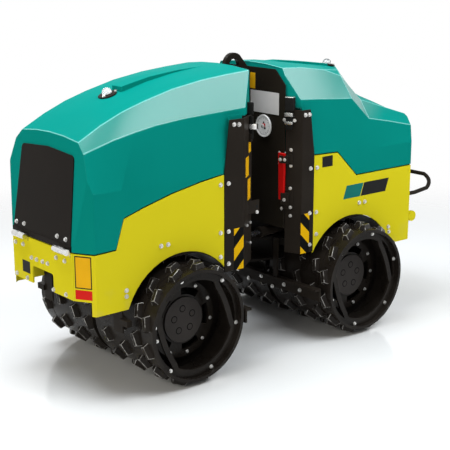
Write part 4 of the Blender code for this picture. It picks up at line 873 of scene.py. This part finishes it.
SIGNS = (
    # name, face, body, left, bottom, right, top, finish, border, thickness
    ("corner_sign", CORNER, "front_frame", 0.0075, 0.474, 0.08, 0.605, LABEL_YELLOW, 0.0045),
    ("corner_sign_red", CORNER, "front_frame", 0.0075, 0.43, 0.08, 0.468, LABEL_RED),
    ("front_plate_sign", FRONT_WALL_FACE, "front_frame", 0.239, 0.454, 0.3, 0.505, LABEL_BLACK),
    ("wall_sign", INNER_WALL, "rear_frame", 0.396, 1.139, 0.452, 1.218, LABEL_YELLOW, 0.0045),
    ("wall_plate", INNER_WALL, "rear_frame", 0.417, 1.04, 0.606, 1.137, WHITE, 0.0, 0.0014),
    ("post_sign_low", FRONT_POST, "front_frame", 0.058, 0.7, 0.118, 0.8, LABEL_YELLOW, 0.0035),
    ("post_sign_high", FRONT_POST, "front_frame", 0.02, 0.808, 0.085, 0.9, LABEL_YELLOW, 0.0035),
    ("post_sign_top", FRONT_POST, "front_frame", 0.075, 0.905, 0.125, 0.96, LABEL_YELLOW, 0.0035),
    ("side_sign", LEFT_SIDE, "rear_frame", 1.3, 0.8, 1.366, 0.849, LABEL_BLACK),
)
for row in SIGNS:
    sign(*row)
print("signs placed")

# %% Stripes on the pillars and the bars where the badge was
STRIPES = (("front", 0.1685, 0.222, STRIPES_FRONT), ("rear", -0.2213, -0.169, STRIPES_REAR))
for side, hand in SIDES:
    for label, low, high, film in STRIPES:
        skin = box_piece(label + "_stripes_" + hand, (low, side * 0.3175, 0.421), (high, side * 0.319, 0.604), film)
        seat(skin, label + "_frame")


def badge_bar(name, start, end, material):
    slant, low, high = 0.022, 0.632, 0.694
    points = [(start, 0.3155, low), (end, 0.3155, low), (end - slant, 0.3155, high), (start - slant, 0.3155, high)]
    return seat(plate(name, points, (0.0, -0.002, 0.0), material), "rear_frame")


badge_bar("badge_bar_teal", -0.44, -0.552, LABEL_TEAL)
badge_bar("badge_bar_black", -0.557, -0.727, LABEL_BLACK)
print("stripes and bars placed")

# %% [markdown]
# ## Latches, brackets and the lock bar
# Rubber over-centre latches pull the hoods down on their pillars; the red bar blocks the
# steering in transport and rests in two folded brackets. They are small, and they are what
# the eye finds first in the dark gap between the units.

# %% Latches, keepers and brackets, slab by slab
SLABS = (
    # piece, body, face, then each slab's low corner, high corner, finish, edge radius and bevel steps
    ("rear_latch_body", "rear_frame", REAR_POST,
     ((0.0, 0.98, -0.001), (0.041, 1.05, 0.005), BLACK, 0.0012),
     ((0.005, 0.984, 0.004), (0.037, 1.044, 0.016), RUBBER, 0.004, 3)),
    ("rear_latch_metal", "rear_frame", REAR_POST,
     ((0.002, 1.041, 0.004), (0.041, 1.058, 0.021), STEEL, 0.0016),
     ((0.003, 1.007, 0.012), (0.041, 1.02, 0.023), STEEL, 0.0016)),
    ("rear_latch_keeper", "rear_hood", REAR_POST,
     ((0.0035, 1.066, -0.012), (0.041, 1.125, 0.02), RUBBER, 0.004, 3)),
    ("rear_latch_cap", "rear_hood", REAR_POST, ((0.004, 1.1225, -0.01), (0.0405, 1.1275, 0.0185), STEEL, 0.0012)),
    ("front_latch_body", "front_frame", FRONT_POST,
     ((0.086, 0.965, 0.0), (0.106, 1.066, 0.016), RUBBER, 0.0045, 3),
     ((0.082, 0.955, -0.001), (0.11, 0.99, 0.011), BLACK, 0.002)),
    ("front_latch_metal", "front_frame", FRONT_POST, ((0.082, 1.01, 0.001), (0.112, 1.032, 0.034), STEEL, 0.0016)),
    ("front_latch_grip", "front_hood", FRONT_POST,
     ((0.088, 1.07, -0.03), (0.106, 1.124, 0.017), RUBBER, 0.006, 3)),
    ("lock_bar_brackets", "rear_frame", REAR_POST,
     ((-0.021, 0.826, 0.0), (0.04, 0.872, 0.004), BLACK, 0.0012),
     ((-0.021, 0.832, 0.003), (0.022, 0.866, 0.021), BLACK, 0.0014),
     ((-0.008, 0.625, 0.0), (0.045, 0.724, 0.004), BLACK, 0.0012),
     ((-0.012, 0.646, 0.003), (0.024, 0.698, 0.021), BLACK, 0.0014)),
)
for name, body, face, *slabs in SLABS:
    seat(merged([face.slab(name, *slab) for slab in slabs], name), body)
print("latches and brackets", len(SLABS))

# %% The bolts on these faces
FACE_BOLTS = (
    # piece, body, face, model, then each bolt's place along, up and out, and its twist
    ("rear_latch_bolts", "rear_frame", REAR_POST, bolt_m8,
     (-0.004, 1.024, 0.004, 0.496), (0.045, 1.024, 0.004, 0.545)),
    ("lock_bracket_bolts", "rear_frame", REAR_POST, bolt_m8,
     (-0.015, 0.849, 0.021), (0.0065, 0.849, 0.021), (0.006, 0.668, 0.021), (0.028, 0.892), (0.028, 0.82),
     (0.0285, 0.719, 0.004), (0.03, 0.632, 0.004), (0.0285, 0.5926), (-0.0135, 0.622)),
    ("wall_bolts", "rear_frame", INNER_WALL, bolt_m6, (0.613, 0.8753), (0.613, 0.8252)),
    ("front_post_bolts", "front_frame", FRONT_POST, bolt_m8, (0.1155, 0.5948), (0.053, 0.5962), (0.117, 0.5029)),
)
for name, body, face, model, *spots in FACE_BOLTS:
    seat(merged([face.bolt(model, *spot) for spot in spots], name), body)
print("face bolts", sum(len(row) - 4 for row in FACE_BOLTS))

# %% The front unit's tab for the lock bar's end
seat(box_piece("lock_tab", (0.036, 0.2635, 0.638), (0.108, 0.2695, 0.696), BLACK, 0.0014), "front_frame")
# The hole is not cut: a thin black disc stands in for it, painted shade
hole = primitive("cylinder", vertices=24, radius=0.007, depth=0.001, location=(0.0505, 0.2697, 0.668),
                 rotation=(math.pi / 2, 0.0, 0.0))
seat(settle(hole, "lock_tab_hole", LABEL_BLACK), "front_frame")
bolts(bolt_m8, "lock_tab_bolt", [(0.05, 0.2695, 0.642)], (0, 1, 0), "front_frame")
print("lock tab")

# %% Dial print and rear lugs
DIAL = Vector((-0.1243, 0.113, 0.983))
# y and z from its middle, half size and finish of each blot that stands for the dial's print
BLOTS = ((0.004, 0.004, 0.009, LABEL_RED), (-0.008, -0.004, 0.006, LABEL_BLACK),
         (0.01, -0.01, 0.005, LABEL_BLACK), (0.002, 0.016, 0.004, LABEL_BLACK))
made = [
    turned("lip", [(0.0455, 0.0), (0.0495, 0.0), (0.049, 0.0022), (0.046, 0.0022)], DIAL, "x", 48, DIAL_WHITE),
    turned("knob", [(0.0, 0.0), (0.0075, 0.0), (0.0065, 0.004), (0.0, 0.0045)], DIAL, "x", 24, DIAL_WHITE),
]
seat(merged(made, "dial_rim"), "rear_frame")
made = [turned("ring", [(0.0385, -0.0002), (0.0393, -0.0002), (0.0393, 0.0004), (0.0385, 0.0004)], DIAL, "x", 48,
               LABEL_BLACK)]
for a in evenly(0.0, 12):
    middle = DIAL + Vector((0.0, 0.0335 * math.cos(a), 0.0335 * math.sin(a)))
    made.append(box_piece("tick", middle - Vector((0.0002, 0.0011, 0.0011)),
                          middle + Vector((0.0004, 0.0011, 0.0011)), LABEL_BLACK, 0.0))
for y, z, size, finish in BLOTS:
    middle = DIAL + Vector((0.0, y, z))
    made.append(box_piece("print", middle - Vector((0.0002, size, size * 0.8)),
                          middle + Vector((0.0005, size, size * 0.8)), finish, 0.0))
seat(merged(made, "dial_marks"), "rear_frame")
for side, hand in SIDES:
    seat(turned("rear_lug_" + hand, disc(0.026, -0.009, 0.009), (-0.964, side * 0.28, 0.466), "y", 40, YELLOW,
                0.0014), "rear_frame")
print("dial and lugs")

# %% [markdown]
# ## Hood trim
# A raised scoop runs along each hood's crown towards its signal lamp, and the rear hood
# folds inwards where it meets the bulkhead. The hinges are bare steel, so their faces in
# the finished skins get a second finish.

# %% Scoops on the crowns
def scoop(name, body, stations, foot):
    """Side outline pushed to full width, then narrowed by station."""
    widest = max(row[1] for row in stations)
    points = [(x, -widest, top) for x, half, top in stations]
    points += [(x, -widest, top - foot) for x, half, top in reversed(stations)]
    obj = plate(name, points, (0.0, 2.0 * widest, 0.0), TEAL)
    for vert in obj.data.vertices:
        x, half, top = min(stations, key=lambda row: abs(row[0] - vert.co.x))
        vert.co.y *= half / widest
    return seat(break_edges(obj, 0.0022, 2, 20.0), body)


scoop("front_scoop", "front_hood", ((0.585, 0.034, 1.208), (0.44, 0.029, 1.238), (0.3, 0.021, 1.253),
                                    (0.12, 0.008, 1.2612)), 0.03)
scoop("rear_scoop", "rear_hood", ((-0.2, 0.012, 1.259), (-0.3, 0.022, 1.258), (-0.454, 0.032, 1.2415),
                                  (-0.6, 0.038, 1.223)), 0.022)

# %% Fold of the rear hood round the bulkhead
half = [(0.225, 1.076), (0.2235, 1.215), (0.209, 1.245), (0.106, 1.2555), (0.0, 1.259)]
inner = [(0.15, 1.226), (0.205, 1.168), (0.205, 1.076)]
outline = half + [(-y, z) for y, z in reversed(half[:-1])] + [(-y, z) for y, z in reversed(inner)] + inner
seat(plate("rear_hood_fold", [(-0.147, y, z) for y, z in outline], (0.0018, 0.0, 0.0), TEAL), "rear_hood")
print("fold with", len(outline), "corners")

# %% Mudguards under the decks, and fillers behind the pillars' tops
GUARD_OUTER, GUARD_INNER, GUARD_HALF = 0.2885, 0.2865, 0.311
for unit, label, start, end in ((1, "front", 23.0, 139.0), (-1, "rear", 33.0, 157.0)):
    sweep = spread(math.radians(start), math.radians(end), 28)
    arc = circle_points(drum_centre(unit), GUARD_OUTER, -GUARD_HALF, sweep)
    arc += circle_points(drum_centre(unit), GUARD_INNER, -GUARD_HALF, sweep[::-1])
    seat(plate(label + "_mudguard", arc, (0.0, 2.0 * GUARD_HALF, 0.0), BLACK), label + "_frame")
FILLERS = (
    # the x and z of its corners, and how far out it stands
    (((0.232, 0.91), (0.277, 0.91), (0.287, 0.828), (0.24, 0.828)), 0.308),
    (((0.166, 1.086), (0.237, 1.086), (0.237, 1.054), (0.166, 1.054)), 0.301),
)
for side, hand in SIDES:
    made = [plate("filler", [(x, side * y, z) for x, z in corners], (0.0, side * 0.002, 0.0), TEAL)
            for corners, y in FILLERS]
    seat(merged(made, "hood_filler_" + hand), "front_hood")
print("mudguards and fillers")

# %% Steel on the hinge faces
FRONT_HINGE, REAR_HINGE = (0.986, 0.617), (-0.984, 0.722)
FRONT_KNUCKLE, REAR_KNUCKLE = 0.0148, 0.014
# Front knuckles to shorten: from y to y, and the start of each before and after
LONG_KNUCKLES = ((-1.0, -0.19, -0.221, -0.19), (0.09, 0.12, 0.099, 0.127))


def near(place, hinge, reach):
    return math.hypot(place.x - hinge[0] - PIN_X, place.z - hinge[1]) < reach


def steel_near(skin_name, hinge, reach):
    skin = bpy.data.objects[skin_name]
    skin.data.materials.append(STEEL)
    faces = [face for face in skin.data.polygons if near(face.center, hinge, reach)]
    for face in faces:
        face.material_index = 1
    return len(faces)


for vert in bpy.data.objects["front_end_plate_skin"].data.vertices:
    if near(vert.co, FRONT_HINGE, FRONT_KNUCKLE):
        for low, high, before, after in LONG_KNUCKLES:
            if low < vert.co.y < high:
                vert.co.y = after + (vert.co.y - before) * 0.5
                break
seat(box_piece("panel_foot", (0.966, -0.224, 0.617), (0.9712, 0.224, 0.64), PANEL_BLACK, 0.001), "front_hood")
print("hinge faces", steel_near("front_end_plate_skin", FRONT_HINGE, FRONT_KNUCKLE),
      steel_near("front_hood_panel_skin", FRONT_HINGE, FRONT_KNUCKLE),
      steel_near("rear_hinge_plate_skin", REAR_HINGE, REAR_KNUCKLE))

# %% Remove the models that were copied
for spare in (pad_model, bolt_m10, bolt_m8, bolt_m6, drum_bolt):
    bpy.data.objects.remove(spare)
print("models removed")

# %% [markdown]
# ## Studio
# A pale floor, a white surround and large soft lamps: the plain set of a catalogue
# photograph. The white background is only seen by the camera, in reflections and through
# the clear domes; it doesn't light the machine, so the paint keeps its colour. A weak plain
# light fills the rest.

# %% Floor
bench = Bench("studio_floor")
x, y = bench.axes()[:2]
grain = bench.noise(3.0, 3.0)
# It fades into the white surround further out
fade = bench.ramp(bench.maths("SQRT", x * x + y * y), 3.8, 1.7)
bench.set(Base_Color=bench.mix(grain, (0.895, 0.893, 0.888), (0.88, 0.878, 0.872)),
          Roughness=0.1 + grain * 0.05, Alpha=fade)
film = bench.bump(bench.noise(40.0, 2.0), 0.02, 0.0005).material
floor = settle(primitive("plane", size=8.0, location=(0.0, 0.0, -0.0006)), "studio_floor", film)
print("floor laid")

# %% Surround and lamps
world = bpy.data.worlds.new("studio")
world.use_nodes = True
bpy.context.scene.world = world
tree = world.node_tree
plain, seen = tree.nodes["Background"], tree.nodes.new("ShaderNodeBackground")
for node, strength in ((plain, 0.15), (seen, 1.0)):
    node.inputs["Color"].default_value = (1.0, 1.0, 1.0, 1.0)
    node.inputs["Strength"].default_value = strength
rays = tree.nodes.new("ShaderNodeLightPath").outputs
pick = tree.nodes.new("ShaderNodeMixShader")
total = rays["Is Camera Ray"]
for kind in ("Is Glossy Ray", "Is Transmission Ray"):
    either = tree.nodes.new("ShaderNodeMath")
    either.operation = "MAXIMUM"
    tree.links.new(total, either.inputs[0])
    tree.links.new(rays[kind], either.inputs[1])
    total = either.outputs[0]
for number, output in enumerate((total, plain.outputs[0], seen.outputs[0])):
    tree.links.new(output, pick.inputs[number])
tree.links.new(pick.outputs[0], tree.nodes["World Output"].inputs["Surface"])
LAMPS = (
    # name, place, aim, width, height, power, colour
    ("key", (1.2, -0.5, 4.4), (0.1, 0.0, 0.5), 2.6, 2.6, 192.0, (0.9, 0.95, 1.0)),
    ("front_fill", (5.0, 1.6, 2.2), (0.5, 0.0, 0.6), 2.4, 2.4, 80.0, (1.0, 0.97, 0.88)),
    ("panel", (-2.0, 2.3, 3.6), (-2.0, 1.1, 1.1), 4.5, 1.5, 140.0, (0.92, 0.97, 1.0)),
    ("floor_light", (1.2, 2.4, 4.6), (1.2, 2.2, 0.0), 2.4, 2.4, 14.0, (1.0, 0.99, 0.97)),
    ("nose_light", (0.5, -2.6, 3.4), (0.8, 0.1, 1.1), 0.8, 0.8, 9.0, (1.0, 1.0, 1.0)),
    ("gap_light", (2.9, 2.0, 1.9), (-0.1, 0.1, 0.9), 0.7, 0.7, 6.0, (1.0, 0.97, 0.93)),
)
for name, place, aim, width, height, power, colour in LAMPS:
    bpy.ops.object.light_add(type="AREA", location=place)
    light = bpy.context.object
    light.name = name
    light.data.shape, light.data.size, light.data.size_y, light.data.energy = "RECTANGLE", width, height, power
    light.data.color = colour
    light.rotation_mode = "QUATERNION"
    light.rotation_quaternion = (Vector(place) - Vector(aim)).to_track_quat("Z", "Y")
print("lamps", len(LAMPS))
